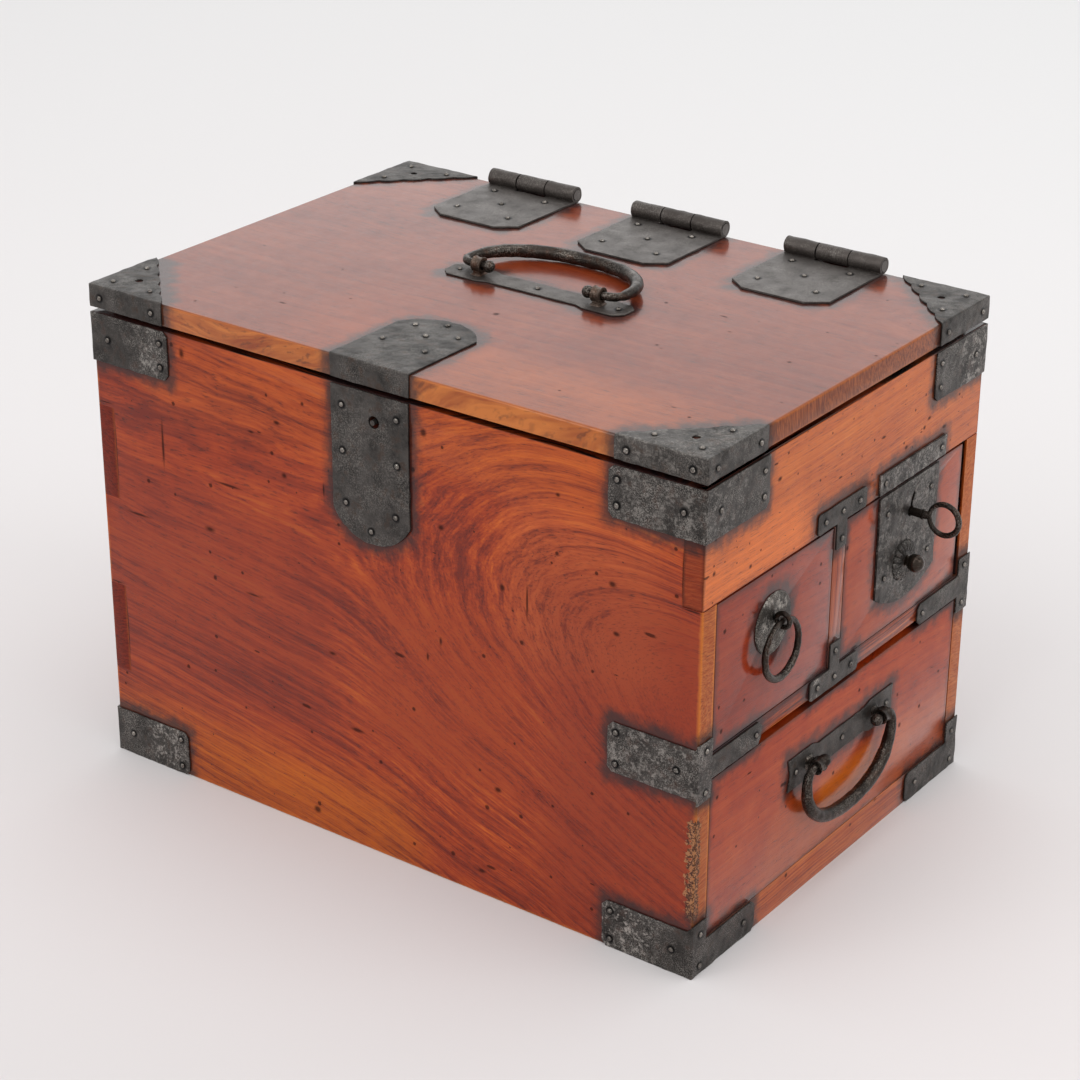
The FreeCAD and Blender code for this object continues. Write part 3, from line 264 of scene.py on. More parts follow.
def specks(add, along, across, pitch, size, stretch):
    # scattered marks up to so many millimetres in radius, longer along the grain by the stretch
    spot = add("CombineXYZ", add("Math MULTIPLY", along, 1 / stretch), across)
    cell = add("TexVoronoi", {"Vector": spot, "Scale": 1 / pitch}, voronoi_dimensions="2D").node.outputs
    chance = add("SeparateXYZ", cell["Color"]).node.outputs
    radius = add("Math MULTIPLY", add("Math POWER", chance[0], 2.0), size / pitch)
    edge = add("TexNoise", {"Vector": spot, "Scale": 1.1, "Detail": 2.0})
    ragged = add("Math MULTIPLY", add("Math MULTIPLY_ADD", edge, 0.9, 0.55), cell["Distance"])
    return add("MapRange", add("Math DIVIDE", radius, ragged), 0.9, 1.5, 0.0, 1.0)


# Zelkova, planed and wiped with thin reddish urushi: dark pore lines in wide growth rings, glowing early
# wood between them, and a glossy film that is rubbed through on the arrises. Patterns are in millimetres.
keyaki = {
    "sway": 6.0,                # how far the rings wander over a hand's breadth
    "swayGrain": (120.0, 40.0, 40.0),
    "ripple": 1.1,              # and from one knot to the next
    "rippleGrain": (30.0, 10.0, 10.0),
    "turn": 30.0,               # softness where the heart of the log bends
    "line": (130.0, 8.0, 1.0),  # length, width and depth of the fine lines in a year
    "fibre": (38.0, 1.4, 0.8),  # and of the fibre streaks, drawn coarser than the real 0.2
    "hatch": (30.0, 1.1, 1.1),  # and of the saw's marks on end grain
    "pore": (7.0, 1.3, 0.5),    # and of the open vessels, as short dark dashes
    "cloud": (90.0, 60.0, 60.0),
    "mottle": 20.0,             # pitch of the blotches in the tone
    "rub": 8.3333,              # of the uneven rubbing on the arrises
    "splinter": 2.38095,        # of the torn fibres in a chipped arris
    "smudge": 7.6923,           # of the ragged edge of a stain
    "peel": 16.0,               # of the waves in the film
    "pit": "#2a0f08",           # dirt in pits, knocks and open vessels
    "stain": "#241a1b",         # what iron makes of the tannin in the wood
    "stainReach": 10.5,
    "ripplesInStain": 15.0,
    "roughness": 0.42,
    "coatRoughness": 0.16,
}
# What sets one board apart, in millimetres. Axes are along the grain, across it and through the board.
# Pith, bends and cone lay the heart of the log, spacing is one year's growth, and quiet is where the bands
# fade near the heart. Tones run from dark to light, with end grain, a saw-cut side and the arrises apart; an
# arris colour is lighter where the film is worn through, and dark on the rails and drawer fronts as painted
# shade along the gaps.
# Glows and chips are boxes with a softness and a colour, marks and seams a middle with two half sizes.
plainBoard = {
    "axes": "yzx", "face": 205.0, "bends": [], "quiet": (-2.0, -1.0), "clouds": 0.35, "mottle": 0.2,
    "end": ["#6b2c14", "#8a4522"], "edge": 0.3, "width": 2.0, "film": 0.85, "stain": 0.85, "pitPitch": 24.0,
    "pitSize": 1.7, "glows": [], "marks": [], "seams": [], "chips": [],
}
boards = {
    "front_board": {
        "axes": "xzy", "pith": 192.0, "bends": [(-1, 60.0, 0.16), (1, 95.0, -0.32)],
        "cone": (0.465, 252.0, 118.0), "quiet": (30.0, 58.0),
        "spacing": 6.4, "face": -142.0, "contrast": 0.56, "fibres": 0.3, "clouds": 0.3,
        "tones": ["#6c1d08", "#90300c", "#a84210", "#c66218"],
        "end": ["#8e3f1b", "#b26636"], "arrisWearAndShade": "#cf7a2c", "edge": 0.6, "film": 0.6,
        "glows": [((-190, -150, -30), (0, -120, 16), 46, "#b35a0a", 0.75),
                  ((105, -150, 175), (160, -120, 225), 38, "#bd5c2c", 0.55),
                  ((5, -150, 85), (75, -120, 155), 38, "#8f330d", 0.6),
                  ((130, -150, 20), (220, -120, 190), 55, "#7c2712", 0.6),
                  ((30, -150, 262), (140, -120, 290), 28, "#bb5a1c", 0.5),
                  ((-150, -150, 250), (-40, -120, 290), 32, "#b4541c", 0.5),
                  ((-205, -150, 90), (-60, -120, 165), 55, "#7a230e", 0.5),
                  # the last box is painted shade: near black over the top of the board, in the gap under the lid
                  ((-215, -150, 280), (215, 150, 290), 0.6, "#120b09", 1.0)],
        "marks": [(-123, 168, 4.6, 2.2), (-19, 74, 6.0, 1.7), (-50, 12, 3.0, 2.6), (-66, 216, 2.6, 2.2),
                  (41, 148, 1.4, 3.2), (-35, 117, 3.6, 1.6), (68, 15, 3.2, 1.6), (79, 70, 2.8, 2.0),
                  (-156, 212, 1.3, 19.0), (32, 136, 1.2, 3.4), (-92, 136, 8.0, 1.2), (-178, 162, 10.0, 1.1),
                  (-108, 199, 12.0, 1.0), (98, 188, 1.0, 12.0), (154, 187, 2.4, 1.6), (82, 192, 2.0, 2.4),
                  (-89, 236, 3.0, 1.1), (117, 254, 1.8, 1.5), (42, 215, 2.2, 1.9), (151, 214, 2.6, 2.2),
                  (-38, 215, 0.9, 5.0), (31, 266, 2.4, 3.0), (-138, 270, 2.5, 4.0), (-70, 246, 2.6, 1.4)],
        "seams": [(-193, 198, 0.8, 30), (-193, 85, 0.8, 30), (-199, 226.4, 7, 0.6), (-199, 169.8, 7, 0.6),
                  (-199, 113.2, 7, 0.6), (-199, 56.6, 7, 0.6), (193, 231, 0.8, 20), (199, 213.2, 7, 0.6)],
        "chips": [((203.5, -150, 38), (212, -140.5, 92), 7, "#9c6b45")],
    },
    "back_board": {
        "axes": "xzy", "pith": 120.0, "bends": [(1, -60.0, 0.12)], "cone": (0.2, 420.0, 96.0),
        "spacing": 5.6, "face": 142.0, "contrast": 0.55, "fibres": 0.3, "clouds": 0.4,
        "tones": ["#631906", "#852a09", "#9b390d", "#b44f17"],
        "end": ["#96431f", "#bb6f3e"], "arrisWearAndShade": "#b8662a", "edge": 0.4,
        # painted shade: near black on the inside of the back board, seen through the gap beside the lock drawer
        "glows": [((150, 128.5, 129.5), (203.4, 130.5, 214), 0.8, "#120b09", 2.0)],
    },
    "left_end_board": {
        "pith": 150.0, "bends": [(1, -20.0, -0.1)], "cone": (0.22, 330.0, 80.0),
        "spacing": 5.4, "face": -205.0, "contrast": 0.55, "fibres": 0.3, "clouds": 0.4,
        "tones": ["#611906", "#82280a", "#97360d", "#ae4a16"],
        "end": ["#541508", "#782410"], "arrisWearAndShade": "#a85a28",
    },
    "end_top_rail": {
        "pith": 120.0, "bends": [(1, 0.0, 0.05)], "cone": (0.03, 900.0, 60.0),
        "spacing": 7.0, "contrast": 0.3, "fibres": 0.28,
        "tones": ["#8e3c10", "#b05219", "#c0611f", "#d07630"],
        # the dark arris colour is painted shade along the arrises
        "end": ["#7a2a12", "#93401f"], "arrisWearAndShade": "#2c1209", "edge": 0.6, "film": 0.6, "pitPitch": 11.0,
        "pitSize": 1.0,
        "glows": [((200, -145, 212), (212, -60, 232), 25, "#df7228", 0.75),
                  # the last box is painted shade: near black over the top of the rail, in the gap under the lid
                  ((-215, -150, 280), (215, 150, 290), 0.6, "#120b09", 1.0)],
        "marks": [(82, 243, 2.6, 1.4), (77, 239, 1.8, 1.6), (57.5, 234, 2.2, 1.6), (100, 232, 2.6, 1.3),
                  (116, 246, 1.4, 1.1), (-99, 223, 1.7, 1.5), (-133, 232, 1.7, 1.7), (-74, 262, 2.6, 1.6)],
    },
    "middle_rail": {
        "pith": 60.0, "cone": (0.02, 600.0, 30.0),
        "spacing": 6.0, "contrast": 0.6, "fibres": 0.6, "clouds": 0.5,
        "tones": ["#501204", "#8a330c", "#ad4f14", "#c87226"],
        # the dark arris colour is painted shade along the arrises
        "arrisWearAndShade": "#2c1209", "edge": 0.6, "film": 0.55,
    },
    "sill_rail": {
        "pith": -60.0, "cone": (0.02, 600.0, 30.0),
        "spacing": 6.0, "contrast": 0.45, "fibres": 0.5, "clouds": 0.4,
        "tones": ["#7a2b0f", "#9f4518", "#b35822", "#c57034"],
        "arrisWearAndShade": "#c0733a",
    },
    "upper_divider": {
        "axes": "zyx", "pith": -60.0, "cone": (0.02, 600.0, 40.0),
        "spacing": 4.5, "contrast": 0.45, "fibres": 0.5, "clouds": 0.3,
        "tones": ["#762a14", "#964224", "#a45230", "#b5683e"],
        "arrisWearAndShade": "#b56f4a",
    },
    "small_drawer_front": {
        "pith": 250.0, "bends": [(1, -80.0, -0.08)], "cone": (0.05, 600.0, 70.0),
        "spacing": 5.5, "contrast": 0.2, "fibres": 0.14, "mottle": 0.4,
        "tones": ["#6a1a08", "#86280b", "#943410", "#a7461d"],
        # the dark arris colour is painted shade along the gaps round the drawer
        "arrisWearAndShade": "#3f1a12", "edge": 0.75, "width": 4.5, "film": 0.75,
    },
    "lock_drawer_front": {
        "pith": 60.0, "bends": [(1, 40.0, 0.06)], "cone": (0.05, 600.0, 60.0),
        "spacing": 6.0, "contrast": 0.2, "fibres": 0.14, "mottle": 0.4,
        "tones": ["#7a240d", "#953614", "#a2431d", "#b1562c"],
        # the dark arris colour is painted shade along the gaps round the drawer
        "arrisWearAndShade": "#3f1a12", "edge": 0.75, "width": 4.5, "film": 0.75,
    },
    "lower_drawer_front": {
        "pith": 150.0, "bends": [(1, 0.0, -0.06)], "cone": (0.04, 700.0, 90.0),
        "spacing": 6.0, "contrast": 0.22, "fibres": 0.15, "mottle": 0.4,
        "tones": ["#77210a", "#94310d", "#a44016", "#b95724"],
        # the dark arris colour is painted shade along the gaps round the drawer
        "arrisWearAndShade": "#45200f", "edge": 0.7, "width": 3.5,
        # the first box is a painted shadow and reflection of the bail: an orange crescent beneath it
        "glows": [((200, -12, 42), (215, 36, 54), 11, "#c8650c", 0.85),
                  ((200, -60, 20), (215, 140, 44), 30, "#b45312", 0.45)],
    },
    "lid_board": {
        "axes": "xyz", "pith": 60.0, "bends": [(1, -100.0, 0.08)], "cone": (0.1, 700.0, 80.0),
        "spacing": 9.0, "face": 295.6, "contrast": 0.24, "fibres": 0.24, "mottle": 0.4,
        "tones": ["#5f2210", "#722d15", "#7e371b", "#8e4624"],
        "end": ["#5a200c", "#9c552c"], "arrisWearAndShade": "#b5682c", "edge": 0.45, "film": 0.8, "pitPitch": 34.0,
        "pitSize": 1.3,
        "side": ["#893a0e", "#bd6c2c"],
        "glows": [((40, -150, 280), (215, -110, 310), 45, "#a8551f", 0.5),
                  ((-60, -150, 280), (10, -80, 310), 40, "#96441c", 0.4)],
        "marks": [(4, -43.5, 2.2, 2.2), (120, 10, 1.8, 0.9), (-100, -100, 3.0, 1.0)],
    },
}


def ringDistance(add, along, across, deep, look):
    # distance to the heart of the log, which makes arches, ovals and streaks on the faces
    height = add("Math SUBTRACT", across, look["pith"])
    for direction, start, slope in look["bends"]:
        past = add("Math MULTIPLY", add("Math SUBTRACT", along, start), direction)
        bend = add("Math SMOOTH_MAX", past, 0.0, keyaki["turn"])
        height = add("Math MULTIPLY_ADD", bend, -slope, height)
    steep, tip, most = look["cone"]
    cone = add("Math MULTIPLY_ADD", along, -steep, steep * tip)
    cone = add("Math SMOOTH_MIN", cone, most, keyaki["turn"])
    inward = add("Math ABSOLUTE", add("Math SUBTRACT", deep, look["face"]))
    cone = add("Math MULTIPLY_ADD", inward, 0.5, cone)
    ring = add("VectorMath LENGTH", add("CombineXYZ", height, cone, 0.0), out="Value")
    sway = grainNoise(add, along, across, deep, keyaki["swayGrain"])
    ripple = grainNoise(add, along, across, deep, keyaki["rippleGrain"])
    ring = add("Math MULTIPLY_ADD", sway, keyaki["sway"], ring)
    return add("Math MULTIPLY_ADD", ripple, keyaki["ripple"], ring)


def yearBands(add, along, across, ring, look):
    # wide light years with dark ends, each drawn with fine lines of vessels, fading out near the heart
    turns = add("Math DIVIDE", ring, look["spacing"])
    chance = add("TexWhiteNoise", {"W": add("Math FLOOR", turns)}, noise_dimensions="1D")
    year = add("ValToRGB", add("Math FRACT", turns),
               stops=[(0.0, 0.12), (0.08, 0.1), (0.24, 1.0), (0.55, 0.85), (0.85, 0.3), (1.0, 0.12)])
    year = add("Math MULTIPLY", year, add("Math MULTIPLY_ADD", chance, 0.5, 0.5))
    drift = grainNoise(add, along, across, ring, (260.0, 80.0, 2 * look["spacing"]), 1.0)
    drift = add("MapRange", drift, 0.3, 0.7, -0.3, 0.3)
    lines = grainNoise(add, along, across, ring, keyaki["line"], 3.0, 0.6)
    lines = add("MapRange", lines, 0.34, 0.66, -0.42, 0.42)
    band = add("Math ADD", add("Math MULTIPLY_ADD", year, 0.6, drift), lines)
    quiet = add("MapRange", ring, *look["quiet"], 0.0, 1.0, interpolation_type="SMOOTHSTEP")
    return add("Math MULTIPLY_ADD", add("Math SUBTRACT", band, 0.35), quiet, 0.35)


def wornAndShadedArris(add, spot, low, high, width):
    # 1 on the arrises of a box, falling to 0 at about the width away from them
    x, y, z = add("SeparateXYZ", pastSides(add, spot, low, high)).node.outputs
    most, least, total = [add("Math " + rule, add("Math " + rule, x, y), z)
                          for rule in ("MAXIMUM", "MINIMUM", "ADD")]
    middle = add("Math SUBTRACT", add("Math SUBTRACT", total, most), least)
    arrisWearAndShade = add("TexNoise", {"Vector": spot, "Scale": 1 / keyaki["rub"], "Detail": 4.0})
    start = add("Math MULTIPLY_ADD", arrisWearAndShade, -2 * width, 0.2)
    return add("MapRange", middle, start, -0.1, 0.0, 1.0)


def urushiKeyaki(nodeName, look):
    material, add, spot = newMaterial("urushi_keyaki_" + nodeName)
    low, high = [Vector(c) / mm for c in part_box(nodeName)]
    split = add("SeparateXYZ", spot).node.outputs
    order = ["xyz".index(letter) for letter in look["axes"]]
    along, across, deep = [split[i] for i in order]
    ring = ringDistance(add, along, across, deep, look)
    band = yearBands(add, along, across, ring, look)

    # tone of the wood
    tone = add("Math MULTIPLY_ADD", band, look["contrast"], 0.5 - 0.5 * look["contrast"])
    fibre = grainNoise(add, along, across, ring, keyaki["fibre"], 3.0)
    cloud = grainNoise(add, along, across, deep, keyaki["cloud"])
    mottle = add("TexNoise", {"Vector": spot, "Scale": 1 / keyaki["mottle"], "Detail": 4.0,
                              "Roughness": 0.6})
    for pattern, strength in ((fibre, look["fibres"]), (cloud, look["clouds"]), (mottle, look["mottle"])):
        centred = add("Math SUBTRACT", pattern, 0.5)
        tone = add("Math MULTIPLY_ADD", centred, 2 * strength, tone)
    colour = add("ValToRGB", tone, stops=list(zip((0.0, 0.33, 0.62, 1.0), map(paint, look["tones"]))))
    for corner0, corner1, soft, shade, strength in look["glows"]:
        glow = nearBox(add, spot, corner0, corner1, soft)
        glow = add("Math MULTIPLY", glow, add("Math MULTIPLY_ADD", tone, 1.3, 0.25))
        glow = add("Math MULTIPLY", glow, strength, use_clamp=True)
        colour = add("MixRGB", glow, colour, paint(shade))

    # end grain, and on the lid the sides that a saw cut across the grain
    normal = add("VectorMath ABSOLUTE", add("TexCoord", out="Normal"))
    facing = add("SeparateXYZ", normal).node.outputs
    hatch = grainNoise(add, deep, ring, across, keyaki["hatch"], 3.0, 0.7)
    endColour = add("ValToRGB", hatch, stops=list(zip((0.34, 0.66), map(paint, look["end"]))))
    isEnd = add("Math GREATER_THAN", facing[order[0]], 0.7)
    colour = add("MixRGB", isEnd, colour, endColour)
    if "side" in look:
        sideColour = add("ValToRGB", add("Math MULTIPLY", hatch, fibre),
                         stops=list(zip((0.12, 0.34), map(paint, look["side"]))))
        isSide = add("Math GREATER_THAN", facing[order[1]], 0.7)
        colour = add("MixRGB", isSide, colour, sideColour)

    # open vessels, pits and knocks
    pore = grainNoise(add, along, across, ring, keyaki["pore"], roughness=0.6)
    pore = add("MapRange", pore, 0.56, 0.68, 0.0, 0.55)
    pore = add("Math MULTIPLY", pore, add("Math MULTIPLY_ADD", band, -0.8, 1.0))
    pitch, size = look["pitPitch"], look["pitSize"]
    pits = specks(add, along, across, pitch, size, 1.0)
    slanted = add("Math MULTIPLY_ADD", across, 0.6, along)
    knocks = specks(add, slanted, across, pitch * 1.3, size * 0.9, 3.2)
    marks = add("Math MULTIPLY", add("Math MAXIMUM", pits, knocks), 0.8)
    flat = add("CombineXYZ", along, across)
    for x, y, wide, tall in look["marks"] + look["seams"]:
        away = add("VectorMath SUBTRACT", flat, (x, y, 0))
        away = add("VectorMath MULTIPLY", away, (1 / wide, 1 / tall, 0))
        away = add("Math MULTIPLY_ADD", mottle, 0.9, add("VectorMath LENGTH", away, out="Value"))
        marks = add("Math MAXIMUM", add("MapRange", away, 0.8, 1.5, 0.85, 0.0), marks)
    isFace = add("Math GREATER_THAN", facing[order[2]], 0.7)
    dark = add("Math MULTIPLY", marks, isFace)
    dark = add("Math MAXIMUM", dark, pore)
    colour = add("MixRGB", dark, colour, paint(keyaki["pit"]))

    # arrises rubbed through the film, and on the rails and drawer fronts painted shade in a dark arris colour
    arrisWearAndShade = wornAndShadedArris(add, spot, low, high, look["width"])
    arrisWearAndShade = add("Math MULTIPLY", arrisWearAndShade, look["edge"])
    colour = add("MixRGB", arrisWearAndShade, colour, paint(look["arrisWearAndShade"]))
    for corner0, corner1, soft, shade in look["chips"]:
        place = nearBox(add, spot, corner0, corner1, soft)
        splinter = add("TexNoise", {"Vector": spot, "Scale": 1 / keyaki["splinter"], "Detail": 4.0,
                                    "Roughness": 0.6})
        torn = add("Math MULTIPLY", place, 0.5)
        torn = add("Math MULTIPLY_ADD", splinter, 1.4, torn)
        torn = add("MapRange", torn, 0.94, 1.03, 0.0, 0.92)
        torn = add("Math MULTIPLY", torn, add("MapRange", place, 0.0, 0.15, 0.0, 1.0))
        fresh, hollow = paint(shade), paint(keyaki["pit"])
        shaded = add("ValToRGB", splinter,
                     stops=[(0.42, fresh), (0.5, hollow), (0.54, hollow), (0.6, fresh)])
        colour = add("MixRGB", torn, colour, shaded)

    # blue-black stain that the mounts leave in the wood
    boxes = []
    for axis in range(3):
        for level in (low[axis], high[axis]):
            boxes += printsOn(axis, level, low, high)
    smudge = add("TexNoise", {"Vector": spot, "Scale": 1 / keyaki["smudge"], "Detail": 4.0,
                              "Roughness": 0.65})
    if boxes:
        ripples = keyaki["ripplesInStain"]
        reach = add("Math MULTIPLY_ADD", smudge, ripples, reachTo(add, spot, boxes))
        half = ripples / 2
        stain = add("MapRange", reach, half + 0.5, half + keyaki["stainReach"], look["stain"], 0.0,
                    interpolation_type="SMOOTHSTEP")
        colour = add("MixRGB", stain, colour, paint(keyaki["stain"]))

    peel = add("TexNoise", {"Vector": spot, "Scale": 1 / keyaki["peel"], "Detail": 1.0})
    relief = add("Math MULTIPLY_ADD", dark, -0.6, add("Math MULTIPLY", peel, 0.35))
    bump = add("Bump", {"Height": relief, "Strength": 0.5, "Distance": 0.4 * mm})
    roughness = add("MapRange", smudge, 0.3, 0.7, keyaki["roughness"] - 0.06, keyaki["roughness"] + 0.08)
    film = add("MapRange", marks, 0.0, 1.0, look["film"], 0.05)
    # end grain drinks the film and stays duller
    film = add("Math MULTIPLY", film, add("Math MULTIPLY_ADD", isEnd, -0.6, 1.0))
    surface = add("BsdfPrincipled", {"Base Color": colour, "Roughness": roughness, "IOR": 1.5,
                                     "Specular IOR Level": 0.05, "Coat Weight": film, "Coat IOR": 1.5,
                                     "Coat Roughness": keyaki["coatRoughness"], "Normal": bump})
    return finishMaterial(material, surface)


# Cedar, sawn, planed and left bare inside: dry, pale brown, with soft straight grain. The grain's sizes are
# lengths, widths and depths in millimetres.
bareCedar = {"fine": (90.0, 2.2, 2.2), "broad": (160.0, 26.0, 26.0), "roughness": 0.72,
             "tones": ["#6b482c", "#926844", "#ab8259"]}


def planedCedar():
    material, add, spot = newMaterial("planed_cedar")
    split = add("SeparateXYZ", spot).node.outputs
    fine = grainNoise(add, *split, bareCedar["fine"], 3.0)
    broad = grainNoise(add, *split, bareCedar["broad"])
    tone = add("Math MULTIPLY_ADD", fine, 0.6, add("Math MULTIPLY", broad, 0.5))
    colour = add("ValToRGB", tone, stops=list(zip((0.3, 0.55, 0.8), map(paint, bareCedar["tones"]))))
    bump = add("Bump", {"Height": fine, "Strength": 0.25, "Distance": 0.2 * mm})
    surface = add("BsdfPrincipled", {"Base Color": colour, "Roughness": bareCedar["roughness"], "IOR": 1.5,
                                     "Normal": bump})
    return finishMaterial(material, surface)


# Wrought iron, hammered thin and blackened with urushi: charcoal, softly dimpled, with flecks rubbed
# bright and fine rust. Dimple and depth are the hammer's marks in millimetres.
plainIron = {"flecks": 0.4, "dimple": 4.0, "roughness": 0.42, "metallic": 0.7}
irons = {
    "plate": {"dark": "#282523", "mid": "#4e4a47", "fleck": "#aaa49d", "flecks": 0.25, "rust": "#3b2c23",
              "dimple": 5.0, "depth": 0.8},
    "leaf": {"dark": "#474340", "mid": "#645f5c", "fleck": "#aaa49d", "flecks": 0.25, "rust": "#3d3632",
             "dimple": 8.0, "depth": 0.4},
    "rubbed": {"dark": "#252220", "mid": "#474340", "fleck": "#bab4ad", "flecks": 0.42, "rust": "#3c2c25",
               "dimple": 5.0, "depth": 0.7, "metallic": 0.72},
    "pitted": {"dark": "#211e1b", "mid": "#4a453f", "fleck": "#c4beb5", "flecks": 0.6, "rust": "#3a2e26",
               "dimple": 3.0, "depth": 0.45, "roughness": 0.4, "metallic": 0.78},
    "bar": {"dark": "#17120f", "mid": "#322923", "fleck": "#b3aaa0", "flecks": 0.35, "rust": "#3a2317",
            "depth": 0.3, "roughness": 0.3, "metallic": 0.8},
    "knob": {"dark": "#221b17", "mid": "#433931", "fleck": "#b3aaa0", "flecks": 0.2, "rust": "#2a1c14",
             "depth": 0.1, "roughness": 0.17, "metallic": 0.8},
    "strap": {"dark": "#2c2019", "mid": "#54443a", "fleck": "#a8998b", "rust": "#4a2c1c", "depth": 0.25},
    # nail heads lighter than the plates: rubbed iron and a painted highlight
    "nail": {"dark": "#46413d", "mid": "#867f78", "fleck": "#d6d0c8", "rust": "#3a2e28",
             "dimple": 2.0, "depth": 0.12, "roughness": 0.24, "metallic": 0.85},
}
# pitch in millimetres of what lies on the iron, with grit drawn coarser than the real 0.2 to show
ironPatterns = {"mottle": 10.0, "grit": 0.76923, "patch": 16.6667, "rust": 5.0, "flake": 1.81818,
                "cluster": 6.25}
# dirt and painted shade round the nail heads, as its reach from a nail's middle in millimetres
nailRim = {"colour": "#070606", "inner": 2.1, "outer": 3.2}
# places rubbed bright: lowest and highest corner and softness in millimetres, then the strength
brightSpots = {
    "bottom_corner_irons": [((152, -150, 2), (172, -138, 26), 16, 0.75),
                            ((-170, -150, 2), (-158, -138, 24), 18, 0.65)],
    "middle_corner_irons": [((156, -150, 106), (200, -138, 134), 20, 0.4)],
    "divider_tee_irons": [((200, -36, 115), (210, -28, 129), 6, 0.8)],
    "lid_corner_irons": [((150, -144, 290), (200, -90, 300), 12, 0.3)],
    "top_corner_irons": [((190, 120, 250), (212, 150, 282), 12, 0.6),
                         ((160, -150, 248), (212, -110, 282), 10, 0.3),
                         ((-165, -150, 250), (-155, -138, 282), 8, 0.5)],
    "small_drawer_ring_plate": [((200, -84, 172), (212, -66, 205), 6, 0.6)],
    "lock_plate": [((200, 20, 160), (212, 110, 232), 5, 0.3)],
    "keeper_strap": [((200, 20, 200), (212, 110, 242), 5, 0.45)],
}
# browner places, the same way
brownSpots = {
    "lid_hinge_leaves": [((-210, 134, 296), (210, 150, 308), 3, 0.75)],
    "body_hinge_leaves": [((-210, 130, 299), (210, 150, 308), 3, 0.75)],
    "lid_handle_plate": [((-64, -14, 294), (-36, 14, 300), 8, 0.7),
                         ((36, -14, 294), (64, 14, 300), 8, 0.7)],
}


def forgedIron(name, kind, bright=(), brown=(), nailed=()):
    look = {**plainIron, **irons[kind]}
    size = ironPatterns
    material, add, spot = newMaterial("forged_iron_" + name)
    mottle = add("TexNoise", {"Vector": spot, "Scale": 1 / size["mottle"], "Detail": 5.0,
                              "Roughness": 0.65})
    grit = add("TexNoise", {"Vector": spot, "Scale": 1 / size["grit"], "Detail": 3.0, "Roughness": 0.75})
    patch = add("TexNoise", {"Vector": spot, "Scale": 1 / size["patch"], "Detail": 4.0, "Roughness": 0.6})
    rust = add("TexNoise", {"Vector": spot, "Scale": 1 / size["rust"], "Detail": 5.0})
    colour = add("ValToRGB", mottle, stops=[(0.32, paint(look["dark"])), (0.66, paint(look["mid"]))])
    rust = strongest(add, spot, brown, add("MapRange", rust, 0.55, 0.68, 0.0, 0.7))
    colour = add("MixRGB", rust, colour, paint(look["rust"]))
    spread = add("MapRange", patch, 0.42, 0.6, 0.12, 1.0)
    spread = add("Math MULTIPLY", spread, look["flecks"])
    fleck = add("Math MULTIPLY", add("MapRange", grit, 0.5, 0.58, 0.0, 1.0), spread)
    colour = add("MixRGB", fleck, colour, paint(look["fleck"]))
    if bright:
        # bare metal shows in clusters of flakes
        flake = add("TexNoise", {"Vector": spot, "Scale": 1 / size["flake"], "Detail": 4.0,
                                 "Roughness": 0.75})
        cluster = add("TexNoise", {"Vector": spot, "Scale": 1 / size["cluster"], "Detail": 3.0,
                                   "Roughness": 0.6})
        flake = add("Math MULTIPLY_ADD", cluster, 0.7, flake)
        flake = add("MapRange", flake, 0.86, 1.02, 0.0, 1.0)
        bare = add("Math MULTIPLY", flake, strongest(add, spot, bright, 0.0))
        colour = add("MixRGB", bare, colour, paint(look["fleck"]))
    # darken the iron round each nail head: dirt and painted shade
    if nailed:
        reach = farOff
        for centre in nailed:
            away = add("VectorMath DISTANCE", spot, tuple(centre / mm), out="Value")
            reach = add("Math MINIMUM", away, reach)
        rim = add("MapRange", reach, nailRim["inner"], nailRim["outer"], 1.0, 0.0)
        colour = add("MixRGB", rim, colour, paint(nailRim["colour"]))
    dimple = add("TexVoronoi", {"Vector": spot, "Scale": 1 / look["dimple"], "Smoothness": 0.6},
                 feature="SMOOTH_F1")
    relief = add("Math MULTIPLY_ADD", grit, 0.35, dimple)
    bump = add("Bump", {"Height": relief, "Strength": 0.6, "Distance": look["depth"] * mm})
    roughness = add("MapRange", mottle, 0.3, 0.7, look["roughness"] + 0.1, look["roughness"] - 0.06)
    surface = add("BsdfPrincipled", {"Base Color": colour, "Metallic": look["metallic"],
                                     "Roughness": roughness, "Normal": bump})
    return finishMaterial(material, surface)


# the other irons and the kind each one is, plate where none is named
barKinds = {
    "hinge_pins": "leaf", "lid_bail": "bar", "lower_drawer_bail": "bar", "small_drawer_ring": "bar",
    "small_drawer_ring_eye": "bar", "lock_key": "bar", "lock_knob": "knob", "lock_rosette": "rubbed",
    "lid_handle_posts": "strap", "lower_drawer_posts": "bar",
}
cedar = planedCedar()
sharedKinds = dict.fromkeys(("plate", "nail", *barKinds.values()))
ironFinish = {kind: forgedIron(kind, kind) for kind in sharedKinds}
nailCentres = [middleOf(island) for name in nodes if name.endswith("nails") for island in islandsOf(name)]


def nailsIn(nodeName):
    # the nail heads that sit on one iron node, within a head's height of its solids
    height = 2 * mm
    boxes = [boxOf(island) for island in islandsOf(nodeName)]
    return [c for c in nailCentres
            if any(all(low[i] - height < c[i] < high[i] + height for i in range(3)) for low, high in boxes)]


def finishFor(nodeName):
    if nodeName in boards:
        return urushiKeyaki(nodeName, {**plainBoard, **boards[nodeName]})
    if nodeName in plateKinds:
        return forgedIron(nodeName, plateKinds[nodeName], brightSpots.get(nodeName, ()),
                          brownSpots.get(nodeName, ()), nailsIn(nodeName))
    if nodeName.endswith("nails"):
        return ironFinish["nail"]
    if "iron" in slotOf[nodeName]:
        return ironFinish[barKinds.get(nodeName, "plate")]
    return cedar


